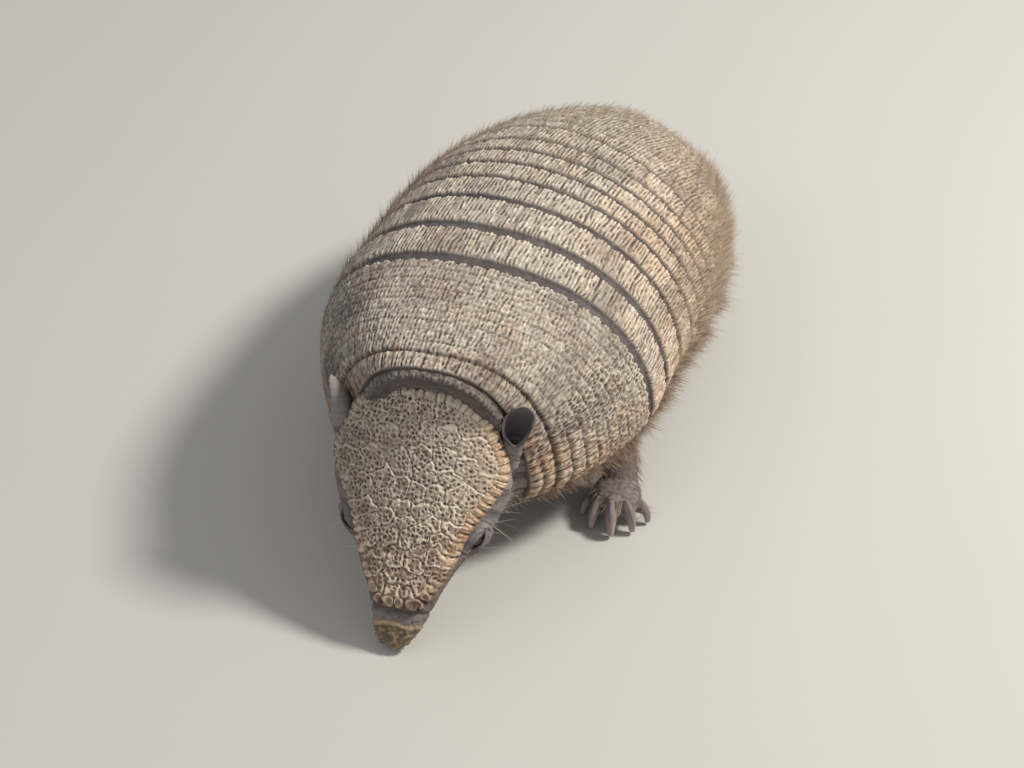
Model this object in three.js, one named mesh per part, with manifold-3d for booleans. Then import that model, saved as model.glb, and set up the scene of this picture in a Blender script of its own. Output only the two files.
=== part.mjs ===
// A big hairy armadillo at life size, standing with its nose down to the floor.
// Millimetres. +X is the animal's left, -Y is the way it faces, +Z is up, and the floor is z = 0.
// The flesh is drawn out to the tips of the coat, so its outline is that of the living animal.

import * as THREE from 'three';
import Module from 'manifold-3d';

const wasm = await Module();
wasm.setup();

// ---------------------------------------------------------------- driving sizes

const gap = 0.35; // clearance left between two pieces that touch

// The armour over the back. Stations run along the back from the front edge of the shoulder shield.
const shell = {
  stations: [0, 12, 25, 50, 112, 175, 225, 250, 262, 268],
  topHeights: [118, 119.8, 121.2, 123.4, 125.5, 118.1, 97.5, 82.1, 70, 60],
  halfWidths: [38.4, 51, 61, 73.1, 78.6, 77.3, 61.8, 45.2, 32, 20],
  formLength: 250, // over which the arch changes from its front form to its rear form
  widestLevels: [48.6, 54.5],
  archPowers: [2.53, 1.61], // superellipse exponents: boxy at the shoulder, pointed at the rump
  rimDrop: 12, // the rim turns straight down below the widest level
  rimTuck: 4,
  domeShare: 0.86, // share of the half girth above the rim
  frontY: -120,
  leanStations: [25, 125, 225],
  leans: [-0.224, -0.156, 0.095], // how far a ring leans along Y for each mm of height
  leanLevel: 60,
  bend: 0.0011, // curvature of the spine, seen from above
  straightStation: 119,
};
const shoulderRows = [0, 3, 8, 15, 25, 44]; // stations of the facets, closer where the form turns faster
const rumpRows = [192, 209, 224, 238, 250, 260, 268];

const shieldThickness = 4;
const bandThickness = 3.2;
const wideBands = 3; // the first bands are wide enough to need a bend across their middle

// The joints between the plates: the middle of each fold of skin, and its width.
const folds = [
  { station: 66.8, width: 3.4 },
  { station: 89.5, width: 3.0 },
  { station: 111.9, width: 1.6 },
  { station: 128.2, width: 0.9 },
  { station: 139.8, width: 0.9 },
  { station: 150.9, width: 0.9 },
  { station: 161.6, width: 0.9 },
  { station: 176.2, width: 0.9 },
];

// The trunk inside the armour, with the long hair of the flanks and belly.
const trunk = {
  stations: [4.5, 30, 90, 190, 235, 262],
  bellyHeights: [27, 16, 12, 12, 18, 33],
  hairInsets: [9, 4, 2, 2, 4, 6], // the flank hair hangs this far inside the widest line of the shell
  bellyPower: 2.1,
};

// The head: a frame of its own, at the middle of the head shield's rear edge.
const head = {
  origin: [4.6, -130, 104.8],
  yaw: 7.3,
  pitch: 60,
  shieldLength: 95.6,
  shieldShares: [0, 0.06, 0.2, 0.38, 0.5, 0.6, 0.8, 0.94, 1],
  shieldHalfWidths: [11, 24.4, 34.6, 39.3, 33.6, 28, 20.9, 14, 9.8],
  shieldThickness: 3.2,
  sag: 11, // how far the shield falls away at sagAcross from its middle line
  sagAcross: 40,
  fleshStations: [4, 12, 25, 38, 57, 75, 90, 100, 108, 114.5],
  fleshHalfWidths: [13, 22, 32, 38.5, 34, 23, 15.8, 12.6, 10.8, 8.6],
  fleshDepths: [24, 34, 43, 44, 38, 28, 21, 18, 15.5, 13.5],
  fleshSteps: 9,
  fleshSides: 18,
  cheekShare: 0.42, // depth of the widest level, as a share of the flesh's depth
  noseStation: 107,
};

// The scute row on the nape stands in the mouth of the shell, just inside its front edge.
const neckNapeGirth = 0.62; // share of the half girth over which the nape lies lower
const nuchalBand = { halfGirth: 0.5, insetTop: 4.4, insetFoot: 10.4, frontStation: -3.2, rearStation: 0 };
const neck = {
  stations: [4.15, 1, -2, -6],
  insets: [5, 5, 5.5, 10],
  napeInsets: [6.4, 7, 13, 20], // the nape lies lower still, and goes down under the head shield
  throatHeight: 34,
};

const eye = { along: 62.8, across: 27, below: 13, radius: 3.7 };

// The ears stand almost upright behind the rear corners of the head shield.
const ear = {
  along: 31,
  across: 36,
  below: 19.4,
  height: 33.4,
  shares: [0, 0.2, 0.4, 0.6, 0.8, 0.93, 1],
  halfWidths: [4.6, 4.5, 4.6, 6.3, 7.0, 5.0, 2.4],
  halfDepths: [4.4, 4.2, 4.0, 4.4, 3.9, 2.6, 1.3],
  cupRadii: [5.3, 4.2, 9.8],
  cupRise: 24.8,
  cupForward: 3.2,
  lean: [0.188, 0.016, 1],
  turns: { left: 22, right: 68 }, // how far each opening turns outwards
};

// Limbs are given for the left side: x outwards from the spine, then y and z, and the radii there.
const foreleg = [
  { at: [42, -50, 50], wide: 15, deep: 17 },
  { at: [56, -46, 32], wide: 12, deep: 13 },
  { at: [65, -55, 20], wide: 9.8, deep: 9.4 },
  { at: [66, -60, 14], wide: 8.6, deep: 7.6 },
];
const forefoot = [
  { at: [66, -53, 7.5], wide: 6.5, deep: 7 },
  { at: [66.5, -59, 9], wide: 9.6, deep: 9.4 },
  { at: [67, -66, 11.5], wide: 11, deep: 8 },
  { at: [67, -72, 13], wide: 9.6, deep: 5.5 },
];
const hindleg = [
  { at: [26, 96, 50], wide: 19, deep: 22 },
  { at: [45, 78, 33], wide: 14, deep: 15 },
  { at: [44, 97, 20], wide: 10.5, deep: 11 },
  { at: [42, 106, 13], wide: 8.5, deep: 9 },
];
const hindfoot = [
  { at: [41, 112, 6.5], wide: 6.5, deep: 7 },
  { at: [43, 100, 7.5], wide: 8.8, deep: 8 },
  { at: [46, 82, 7], wide: 10.5, deep: 7.4 },
  { at: [48, 66, 7], wide: 11, deep: 6 },
  { at: [49, 61, 7], wide: 9.5, deep: 4 },
];

// Claws, from the innermost toe outwards: where each leaves the foot, where its tip rests, its radius.
const foreClaws = [
  { root: [57.6, -67, 10.5], tip: [53, -71.5, 0], radius: 1.9 },
  { root: [61, -72, 13], tip: [59, -79, 0], radius: 2.4 },
  { root: [66.5, -74, 14], tip: [68.6, -81, 0], radius: 2.7 },
  { root: [72, -71, 13.5], tip: [77, -75, 0], radius: 2.5 },
  { root: [76.5, -65.5, 11.5], tip: [82, -66.5, 0], radius: 2.0 },
];
const hindClaws = [
  { root: [40, 63, 6.4], tip: [37.5, 55.5, 0], radius: 1.7 },
  { root: [44.5, 60, 7.4], tip: [43.4, 49.5, 0], radius: 2.0 },
  { root: [49.2, 59, 7.6], tip: [49.6, 47.8, 0], radius: 2.2 },
  { root: [53.8, 60.5, 7.2], tip: [55.6, 50.5, 0], radius: 2.0 },
  { root: [57.8, 64.5, 6.2], tip: [61, 56.5, 0], radius: 1.7 },
];
const clawArch = 0.16; // how far a claw bows upwards, as a share of its length
const clawTipShare = 0.32;

const stance = {
  left: { fore: [0, 0], hind: [0, 0] },
  right: { fore: [-13, 5], hind: [-2, -9] }, // shift outwards and along Y on the right side
};

const tail = [
  { at: [1, 141, 46], wide: 13.5, deep: 12.5 },
  { at: [-5, 160, 36], wide: 11.5, deep: 11 },
  { at: [-18, 178, 20], wide: 9, deep: 8.6 },
  { at: [-39, 196, 8.6], wide: 6.8, deep: 6.6 },
  { at: [-66, 208, 4.6], wide: 4.8, deep: 4.8 },
  { at: [-87, 214, 2.2], wide: 2.4, deep: 2.4 },
];
const tailLengths = [
  { name: 'tail_base', from: 0, to: 0.33 },
  { name: 'tail_middle', from: 0.333, to: 0.66 },
  { name: 'tail_tip', from: 0.663, to: 1 },
];

const girthSteps = 20; // facets from rim to rim of a plate
const bellySteps = 6;
const limbSides = 10;

// ---------------------------------------------------------------- numbers and curves

const radians = THREE.MathUtils.degToRad;
const { lerp, clamp } = THREE.MathUtils;

// A smooth curve through the given values, with its slopes taken from its neighbours.
function curveThrough(places, values) {
  const last = places.length - 1;
  const rises = values.slice(1).map((value, i) => (value - values[i]) / (places[i + 1] - places[i]));
  const slopes = values.map((_, i) => {
    if (i === 0 || i === last) return 0;
    const before = places[i] - places[i - 1];
    const after = places[i + 1] - places[i];
    return (rises[i - 1] * after + rises[i] * before) / (before + after);
  });
  slopes[0] = 2 * rises[0] - slopes[1];
  slopes[last] = 2 * rises[last - 1] - slopes[last - 1];
  return (place) => {
    const x = clamp(place, places[0], places[last]);
    const i = Math.max(0, places.findIndex((p) => p >= x) - 1);
    const width = places[i + 1] - places[i];
    const t = (x - places[i]) / width;
    const s = 1 - t;
    return values[i] * (1 + 2 * t) * s * s + values[i + 1] * t * t * (3 - 2 * t)
      + width * (slopes[i] * t * s * s - slopes[i + 1] * t * t * s);
  };
}

function steps(from, to, count) {
  return Array.from({ length: count + 1 }, (_, i) => lerp(from, to, i / count));
}

// A cosine or sine raised to a superellipse's power, keeping its sign.
function powered(value, power) {
  return Math.sign(value) * Math.abs(value) ** (2 / power);
}

// ---------------------------------------------------------------- solids

function manifoldOf(points, triangles) {
  const vertProperties = new Float32Array(points.flatMap((p) => [p.x, p.y, p.z]));
  const build = (faces) => new wasm.Manifold(new wasm.Mesh({
    numProp: 3,
    vertProperties,
    triVerts: new Uint32Array(faces.flat()),
  }));
  const solid = build(triangles);
  if (solid.volume() > 0) return solid;
  return build(triangles.map(([a, b, c]) => [a, c, b]));
}

// Closed rings of points joined into one skin, with a fan over each end.
function loft(rings) {
  const sides = rings[0].length;
  const points = rings.flat();
  const triangles = [];
  for (let r = 0; r < rings.length - 1; r += 1) {
    for (let i = 0; i < sides; i += 1) {
      const a = r * sides + i;
      const b = r * sides + (i + 1) % sides;
      triangles.push([a, b, b + sides], [a, b + sides, a + sides]);
    }
  }
  [rings[0], rings.at(-1)].forEach((ring, end) => {
    const middle = points.length;
    const start = end ? (rings.length - 1) * sides : 0;
    points.push(ring.reduce((sum, p) => sum.add(p), new THREE.Vector3()).divideScalar(sides));
    for (let i = 0; i < sides; i += 1) {
      const a = start + i;
      const b = start + (i + 1) % sides;
      triangles.push(end ? [a, b, middle] : [b, a, middle]);
    }
  });
  return manifoldOf(points, triangles);
}

// A curved plate between an outer and an inner grid: both are called with a row and a column value.
function plate(rows, columns, outer, inner) {
  const across = columns.length;
  const ringSize = 2 * across;
  const points = rows.flatMap((row) => [
    ...columns.map((column) => outer(row, column)),
    ...columns.map((column) => inner(row, column)).reverse(),
  ]);
  const triangles = [];
  for (let r = 0; r < rows.length - 1; r += 1) {
    for (let i = 0; i < ringSize; i += 1) {
      const a = r * ringSize + i;
      const b = r * ringSize + (i + 1) % ringSize;
      triangles.push([a, b, b + ringSize], [a, b + ringSize, a + ringSize]);
    }
  }
  const lastRow = (rows.length - 1) * ringSize;
  for (let i = 0; i < across - 1; i += 1) {
    const [a, b, c, d] = [i, i + 1, ringSize - 2 - i, ringSize - 1 - i];
    triangles.push([b, a, d], [b, d, c]);
    triangles.push([lastRow + a, lastRow + b, lastRow + d], [lastRow + b, lastRow + c, lastRow + d]);
  }
  return manifoldOf(points, triangles);
}

// A limb along a smooth line through its joints. Nothing reaches below the floor.
function limb(joints, { side = 1, shift = [0, 0], from = 0, to = 1, rings = 6, grow = 0 } = {}) {
  const centres = joints.map(({ at }) => bodyPoint(at[0] + shift[0], at[1] + shift[1], at[2], side));
  const line = new THREE.CatmullRomCurve3(centres, false, 'centripetal');
  const shares = joints.map((_, i) => i / (joints.length - 1));
  const wide = curveThrough(shares, joints.map((joint) => joint.wide + grow));
  const deep = curveThrough(shares, joints.map((joint) => joint.deep + grow));
  return loft(steps(from, to, rings - 1).map((share) => {
    const centre = line.getPoint(share);
    const tangent = line.getTangent(share);
    const across = new THREE.Vector3().crossVectors(tangent, new THREE.Vector3(0, 0, 1)).normalize();
    const upright = new THREE.Vector3().crossVectors(across, tangent).normalize();
    return Array.from({ length: limbSides }, (_, i) => {
      const angle = (2 * Math.PI * i) / limbSides;
      const point = centre.clone()
        .addScaledVector(across, wide(share) * powered(Math.cos(angle), 2.2))
        .addScaledVector(upright, deep(share) * powered(Math.sin(angle), 2.2));
      point.z = Math.max(point.z, 0);
      return point;
    });
  }));
}

function manifoldOfGeometry(geometry) {
  const position = geometry.getAttribute('position');
  const seen = new Map();
  const points = [];
  const places = Array.from({ length: position.count }, (_, i) => {
    const point = new THREE.Vector3().fromBufferAttribute(position, i);
    const key = point.toArray().map((value) => value.toFixed(4)).join();
    if (!seen.has(key)) {
      seen.set(key, points.length);
      points.push(point);
    }
    return seen.get(key);
  });
  const index = Array.from(geometry.index.array, (i) => places[i]);
  const triangles = [];
  for (let i = 0; i < index.length; i += 3) {
    const face = index.slice(i, i + 3);
    if (new Set(face).size === 3) triangles.push(face);
  }
  return manifoldOf(points, triangles);
}

function ellipsoid(centre, radii, turn = new THREE.Matrix4(), detail = [18, 12]) {
  const geometry = new THREE.SphereGeometry(1, ...detail);
  geometry.rotateX(Math.PI / 2);
  geometry.scale(...radii);
  geometry.applyMatrix4(turn);
  geometry.translate(centre.x, centre.y, centre.z);
  return manifoldOfGeometry(geometry);
}

// What is left of a solid after its neighbours are cut away: the largest piece.
function cut(solid, ...neighbours) {
  const rest = neighbours.reduce((left, neighbour) => left.subtract(neighbour), solid);
  return rest.decompose().reduce((best, piece) => (piece.volume() > best.volume() ? piece : best));
}

// ---------------------------------------------------------------- the shell's form

const topHeight = curveThrough(shell.stations, shell.topHeights);
const halfWidth = curveThrough(shell.stations, shell.halfWidths);
const bellyHeight = curveThrough(trunk.stations, trunk.bellyHeights);
const hairInset = curveThrough(trunk.stations, trunk.hairInsets);
const bodyLean = (station) => {
  const [first, middle, last] = shell.leanStations;
  const [a, b, c] = shell.leans;
  if (station < middle) return lerp(a, b, clamp((station - first) / (middle - first), 0, 1));
  return lerp(b, c, clamp((station - middle) / (last - middle), 0, 1));
};

function spine(station) {
  const past = station - shell.straightStation;
  return { x: (shell.bend * past * past) / 2, heading: shell.bend * past };
}

// A point given by its distance outwards from the spine, at a Y and a height.
function bodyPoint(out, y, z, side = 1) {
  return new THREE.Vector3(spine(y - shell.frontY).x + side * out, y, z);
}

// The place of a point of the ring at a station, once it has leaned and the spine has bent.
function ringPoint(station, x, z) {
  const { x: spineX, heading } = spine(station);
  const y = station + shell.frontY + bodyLean(station) * (z - shell.leanLevel);
  return new THREE.Vector3(spineX + x * Math.cos(heading), y - x * Math.sin(heading), z);
}

function ringForm(station) {
  const share = clamp(station / shell.formLength, 0, 1);
  return { level: lerp(...shell.widestLevels, share), power: lerp(...shell.archPowers, share) };
}

// girth runs from -1 at the right rim over the back to 1 at the left rim.
function shellPoint(station, girth, inset) {
  const { level, power } = ringForm(station);
  const across = clamp(Math.abs(girth) / shell.domeShare, 0, 1) * (Math.PI / 2);
  const rim = clamp((Math.abs(girth) - shell.domeShare) / (1 - shell.domeShare), 0, 1);
  const x = (halfWidth(station) - inset) * powered(Math.sin(across), power) - shell.rimTuck * rim * rim;
  const z = level + (topHeight(station) - inset - level) * powered(Math.cos(across), power);
  return ringPoint(station, Math.sign(girth) * x, z - shell.rimDrop * rim);
}

const girths = steps(-1, 1, girthSteps);

function armour(rows, thickness, grow = 0) {
  return plate(
    rows,
    girths,
    (station, girth) => shellPoint(station, girth, -grow),
    (station, girth) => shellPoint(station, girth, thickness + grow),
  );
}

// A ring of flesh: an arch inside the shell's, closed below by the hair of the belly or throat.
function fleshRing(station, insetAt, lowerWidth, lowest) {
  const rimLevel = ringForm(station).level - shell.rimDrop - gap;
  const back = girths.map((girth) => {
    const point = shellPoint(station, girth, insetAt(girth));
    point.z += Math.abs(girth) === 1 ? -gap : 0;
    return point;
  });
  const under = steps(0, Math.PI, bellySteps).map((angle) => {
    const x = lowerWidth * powered(Math.cos(angle), trunk.bellyPower);
    const drop = (rimLevel - lowest) * powered(Math.sin(angle), trunk.bellyPower);
    return ringPoint(station, x, rimLevel - drop);
  });
  return [...back, ...under];
}

function trunkSolid(grow = 0) {
  const stations = [
    trunk.stations[0] - grow,
    ...shoulderRows.slice(2),
    ...[0, 2, 4, 6].map((i) => folds[i].station),
    ...rumpRows.slice(0, -2),
    rumpRows.at(-2) + grow,
  ];
  return loft(stations.map((station) => fleshRing(
    station,
    () => shieldThickness + 2 * gap - grow,
    halfWidth(station) - hairInset(station) + grow,
    bellyHeight(station) - grow,
  )));
}

function neckSolid(grow = 0) {
  return loft(neck.stations.map((station, i) => {
    const inset = neck.insets[i] - grow;
    const insetAt = (girth) => inset + (Math.abs(girth) < neckNapeGirth ? neck.napeInsets[i] : 0);
    const lowerWidth = halfWidth(station) - inset - shell.rimTuck;
    return fleshRing(station - (i ? grow : 0), insetAt, lowerWidth, neck.throatHeight - grow);
  }));
}

// ---------------------------------------------------------------- the head's form

const headAxes = (() => {
  const [yaw, pitch] = [radians(head.yaw), radians(head.pitch)];
  const forward = new THREE.Vector3(
    Math.sin(yaw) * Math.cos(pitch),
    -Math.cos(yaw) * Math.cos(pitch),
    -Math.sin(pitch),
  );
  const left = new THREE.Vector3(Math.cos(yaw), Math.sin(yaw), 0);
  return { forward, left, up: new THREE.Vector3().crossVectors(left, forward).negate() };
})();

function headPoint(along, across, above) {
  return new THREE.Vector3(...head.origin)
    .addScaledVector(headAxes.forward, along)
    .addScaledVector(headAxes.left, across)
    .addScaledVector(headAxes.up, above);
}

const shieldHalfWidth = curveThrough(
  head.shieldShares.map((share) => share * head.shieldLength),
  head.shieldHalfWidths,
);
const fleshHalfWidth = curveThrough(head.fleshStations, head.fleshHalfWidths);
const fleshDepth = curveThrough(head.fleshStations, head.fleshDepths);
const sagAt = (across) => -head.sag * (across / head.sagAcross) ** 2;

function headShield(grow = 0) {
  const half = head.shieldLength / 2;
  const rows = steps(0, Math.PI, 9).map((angle) => half * (1 - Math.cos(angle)));
  const columns = steps(-1, 1, 10);
  const point = (along, column, depth) => {
    const across = column * (shieldHalfWidth(along) + grow);
    return headPoint(along + grow * (2 * along / head.shieldLength - 1), across, sagAt(across) - depth);
  };
  return plate(
    rows,
    columns,
    (along, column) => point(along, column, -grow),
    (along, column) => point(along, column, head.shieldThickness + grow),
  );
}

function headRing(along, grow) {
  const width = fleshHalfWidth(along) + grow;
  const depth = fleshDepth(along) + grow;
  const cheek = -head.cheekShare * depth;
  return steps(0, 2 * Math.PI, head.fleshSides).slice(0, -1).map((angle) => {
    const across = width * powered(Math.cos(angle), 2.3);
    const upper = Math.sin(angle) > 0;
    const roof = sagAt(across) - head.shieldThickness - 2 * gap + grow;
    const rise = (upper ? roof - cheek : depth + cheek) * powered(Math.sin(angle), upper ? 3 : 2.2);
    const point = headPoint(along, across, cheek + rise);
    point.z = Math.max(point.z, 0);
    return point;
  });
}

function headSolid(fromStation, toStation, count, grow = 0) {
  return loft(steps(fromStation - grow, toStation + grow, count).map((along) => headRing(along, grow)));
}

// ---------------------------------------------------------------- pieces of flesh and armour

const solids = new Map(); // node name to { solid, finish }

function keep(name, solid, finish) {
  solids.set(name, { solid, finish });
}

const trunkRoom = trunkSolid(gap);
const mouthRoom = armour([-gap, ...shoulderRows.slice(1, 5)], shieldThickness, gap);

keep('trunk', trunkSolid(), 'hairySkin');

function addArmour() {
  const edges = [0, ...folds.flatMap(({ station, width }) => [station - width / 2, station + width / 2])];
  keep('scapular_shield', armour([...shoulderRows, edges[1]], shieldThickness), 'plate');
  for (let i = 0; i < folds.length - 1; i += 1) {
    const rows = steps(edges[2 * i + 2], edges[2 * i + 3], i < wideBands ? 2 : 1);
    keep(`band_${i + 1}`, armour(rows, bandThickness), 'plate');
  }
  keep('pelvic_shield', armour([edges.at(-1), ...rumpRows], shieldThickness), 'plate');
}

function nuchalSolid(grow = 0) {
  const { halfGirth, insetTop, insetFoot, frontStation, rearStation } = nuchalBand;
  const reach = halfGirth + grow * 0.01;
  return plate(
    [insetTop - grow, (insetTop + insetFoot) / 2, insetFoot + grow],
    steps(-reach, reach, 10),
    (inset, girth) => shellPoint(frontStation - grow, girth, inset),
    (inset, girth) => shellPoint(rearStation + grow, girth, inset),
  );
}

function addHead() {
  const shieldRoom = headShield(gap);
  const eyePlaces = [1, -1].map((side) => headPoint(eye.along, side * eye.across, -eye.below));
  const sockets = eyePlaces.map((place) => ellipsoid(place, Array(3).fill(eye.radius + gap), undefined, [10, 7]));
  const eyes = eyePlaces.map((place) => ellipsoid(place, Array(3).fill(eye.radius), undefined, [10, 7]));
  const fleshTo = head.noseStation - gap;
  const whole = headSolid(head.fleshStations[0], fleshTo, head.fleshSteps);
  const headRoom = headSolid(head.fleshStations[0], fleshTo, head.fleshSteps, gap);
  const flesh = cut(whole, trunkRoom, neckSolid(gap), mouthRoom, nuchalSolid(gap), ...sockets);
  keep('head', flesh, 'skin');
  keep('head_shield', cut(headShield(), mouthRoom, nuchalSolid(gap)), 'plate');
  keep('nose', noseSolid(), 'nose');
  keep('neck', cut(neckSolid(), shieldRoom), 'skin');
  keep('nuchal_band', nuchalSolid(), 'plate');
  keep('eye_left', eyes[0], 'eye');
  keep('eye_right', eyes[1], 'eye');
  const neighbours = [mouthRoom, shieldRoom, headRoom, neckSolid(gap), trunkRoom];
  keep('ear_left', cut(earSolid(1), ...neighbours), 'ear');
  keep('ear_right', cut(earSolid(-1), ...neighbours), 'ear');
}

// The nose pad closes the snout with a rounded end.
function noseSolid() {
  const end = head.fleshStations.at(-1);
  const rings = [0, 0.45, 0.8, 1].map((share) => {
    const ring = headRing(lerp(head.noseStation, end, share), 0);
    const middle = ring.reduce((sum, p) => sum.add(p), new THREE.Vector3()).divideScalar(ring.length);
    const taper = Math.sqrt(1 - (0.75 * share) ** 2);
    return ring.map((p) => {
      const point = middle.clone().lerp(p, taper);
      point.z = p.z === 0 ? 0 : point.z;
      return point;
    });
  });
  return loft(rings);
}

// A leaf rolled into a cup that opens forwards and outwards.
function earSolid(side) {
  const base = headPoint(ear.along, side * ear.across, -ear.below);
  const rise = new THREE.Vector3(side * ear.lean[0], ear.lean[1], ear.lean[2]).normalize();
  const turn = radians(side > 0 ? ear.turns.left : ear.turns.right) * side;
  const across = new THREE.Vector3(Math.cos(turn), Math.sin(turn), 0);
  const forward = new THREE.Vector3().crossVectors(across, rise).normalize();
  const wide = curveThrough(ear.shares, ear.halfWidths);
  const deep = curveThrough(ear.shares, ear.halfDepths);
  const rings = steps(0, 1, 6).map((share) => Array.from({ length: limbSides }, (_, i) => {
    const angle = (2 * Math.PI * i) / limbSides;
    return base.clone()
      .addScaledVector(rise, share * ear.height)
      .addScaledVector(across, wide(share) * Math.cos(angle))
      .addScaledVector(forward, deep(share) * Math.sin(angle));
  }));
  const cupTurn = new THREE.Matrix4().makeBasis(across, forward, rise);
  const cupPlace = base.clone().addScaledVector(rise, ear.cupRise).addScaledVector(forward, ear.cupForward);
  return cut(loft(rings), ellipsoid(cupPlace, ear.cupRadii, cupTurn, [10, 6]));
}

// ---------------------------------------------------------------- limbs, claws and tail

function clawSolid({ root, tip, radius }, side, shift) {
  const start = bodyPoint(root[0] + shift[0], root[1] + shift[1], root[2], side);
  const end = bodyPoint(tip[0] + shift[0], tip[1] + shift[1], tip[2], side);
  const middle = start.clone().lerp(end, 0.5);
  middle.z += clawArch * start.distanceTo(end);
  const back = start.clone().add(start.clone().sub(middle).setLength(2 * radius));
  const line = new THREE.CatmullRomCurve3([back, start, middle, end]);
  const sides = 6;
  return loft(steps(0, 1, 3).map((share) => {
    const centre = line.getPoint(share);
    const tangent = line.getTangent(share);
    const across = new THREE.Vector3().crossVectors(tangent, new THREE.Vector3(0, 0, 1)).normalize();
    const upright = new THREE.Vector3().crossVectors(across, tangent);
    const size = radius * lerp(1, clawTipShare, Math.max(0, (share - 0.3) / 0.7));
    return Array.from({ length: sides }, (_, i) => {
      const angle = (2 * Math.PI * (i + 0.5)) / sides;
      const point = centre.clone()
        .addScaledVector(across, 0.85 * size * Math.cos(angle))
        .addScaledVector(upright, 1.15 * size * Math.sin(angle));
      point.z = Math.max(point.z, 0);
      return point;
    });
  }));
}

function addLimb(end, sideName, leg, foot, claws) {
  const side = sideName === 'left' ? 1 : -1;
  const shift = stance[sideName][end];
  const legRoom = limb(leg, { side, shift, grow: gap });
  const footRoom = limb(foot, { side, shift, grow: gap });
  keep(`${end}leg_${sideName}`, cut(limb(leg, { side, shift }), trunkRoom), 'hairySkin');
  keep(`${end}foot_${sideName}`, cut(limb(foot, { side, shift }), legRoom, trunkRoom), 'skin');
  claws.forEach((claw, i) => {
    const solid = cut(clawSolid(claw, side, shift), footRoom, legRoom, trunkRoom);
    keep(`${end}claw_${sideName}_${i + 1}`, solid, 'claw');
  });
}

function addTail(neighbours) {
  tailLengths.forEach(({ name, from, to }) => {
    keep(name, cut(limb(tail, { from, to }), ...neighbours), 'tail');
  });
}

addArmour();
addHead();
['left', 'right'].forEach((sideName) => {
  addLimb('fore', sideName, foreleg, forefoot, foreClaws);
  addLimb('hind', sideName, hindleg, hindfoot, hindClaws);
});
addTail([trunkRoom, solids.get('pelvic_shield').solid]);

// ---------------------------------------------------------------- finishes and scene graph

const finishes = {
  plate: new THREE.MeshStandardMaterial({ color: 0x8a7a66, roughness: 0.78, metalness: 0 }),
  skin: new THREE.MeshStandardMaterial({ color: 0x6d6066, roughness: 0.82, metalness: 0 }),
  hairySkin: new THREE.MeshStandardMaterial({ color: 0x5c4a3e, roughness: 0.92, metalness: 0 }),
  nose: new THREE.MeshStandardMaterial({ color: 0x4a3f36, roughness: 0.6, metalness: 0 }),
  eye: new THREE.MeshStandardMaterial({ color: 0x120d0b, roughness: 0.12, metalness: 0 }),
  ear: new THREE.MeshStandardMaterial({ color: 0x645a5c, roughness: 0.75, metalness: 0 }),
  claw: new THREE.MeshStandardMaterial({ color: 0x7c7076, roughness: 0.5, metalness: 0 }),
  tail: new THREE.MeshStandardMaterial({ color: 0x6e6257, roughness: 0.8, metalness: 0 }),
};

function geometryOf(solid) {
  const { vertProperties, triVerts } = solid.getMesh();
  const geometry = new THREE.BufferGeometry();
  geometry.setAttribute('position', new THREE.BufferAttribute(vertProperties, 3));
  geometry.setIndex(new THREE.BufferAttribute(triVerts, 1));
  geometry.computeVertexNormals();
  return geometry;
}

const armadillo = new THREE.Group();
solids.forEach(({ solid, finish }, name) => {
  const mesh = new THREE.Mesh(geometryOf(solid), finishes[finish]);
  mesh.name = name;
  armadillo.add(mesh);
});

// The part's origin is on the floor, below the middle of its box.
const box = new THREE.Box3().setFromObject(armadillo);
const middle = box.getCenter(new THREE.Vector3());
armadillo.position.set(-middle.x, -middle.y, -box.min.z);
armadillo.updateMatrixWorld(true);

export default armadillo;
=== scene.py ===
import math
import bpy
import numpy as np
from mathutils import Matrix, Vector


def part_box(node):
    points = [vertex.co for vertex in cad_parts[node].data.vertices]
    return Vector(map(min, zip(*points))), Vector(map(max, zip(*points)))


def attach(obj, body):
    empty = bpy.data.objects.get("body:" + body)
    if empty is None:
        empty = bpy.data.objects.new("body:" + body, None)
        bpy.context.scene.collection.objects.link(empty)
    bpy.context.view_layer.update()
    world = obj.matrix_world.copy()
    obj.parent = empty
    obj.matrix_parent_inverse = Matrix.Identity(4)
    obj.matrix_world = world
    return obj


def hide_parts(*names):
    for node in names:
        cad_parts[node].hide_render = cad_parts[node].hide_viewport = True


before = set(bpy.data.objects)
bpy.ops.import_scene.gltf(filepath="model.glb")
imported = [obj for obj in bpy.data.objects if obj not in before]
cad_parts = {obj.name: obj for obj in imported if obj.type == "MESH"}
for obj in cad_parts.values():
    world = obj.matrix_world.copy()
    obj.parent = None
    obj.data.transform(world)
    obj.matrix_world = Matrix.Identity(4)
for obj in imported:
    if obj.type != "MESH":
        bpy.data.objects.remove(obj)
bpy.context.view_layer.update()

# The forms below are worked out in the part's own millimetres, and makeMesh puts them into the frame.
mm = 0.001
rng = np.random.default_rng(11)
scene = bpy.context.scene
skyward = np.array([0, 0, 1.0])
sideOf = {"left": 1, "right": -1}
limbEnds = ("fore", "hind")
farAway = 99.0


# ---- numbers, curves and noise

def smoothStep(low, high, x):
    t = np.clip((x - low) / (high - low), 0, 1)
    return t * t * (3 - 2 * t)


def bell(x, middle, width):
    return np.exp(-((x - middle) / width) ** 2)


def blend(first, second, share):
    return first * (1 - share) + second * share


def powered(value, power):  # a sine or cosine raised to a superellipse's power, keeping its sign
    return np.sign(value) * np.abs(value) ** (2 / power)


def unit(vectors):
    return vectors / np.maximum(np.linalg.norm(vectors, axis=-1, keepdims=True), 1e-12)


def turns(count):  # angles once round
    return np.linspace(0, 2 * math.pi, count, endpoint=False)


def travelled(line):  # the distance along a line at each of its points
    return np.concatenate([[0], np.cumsum(np.linalg.norm(np.diff(line, axis=0), axis=1))])


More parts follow.
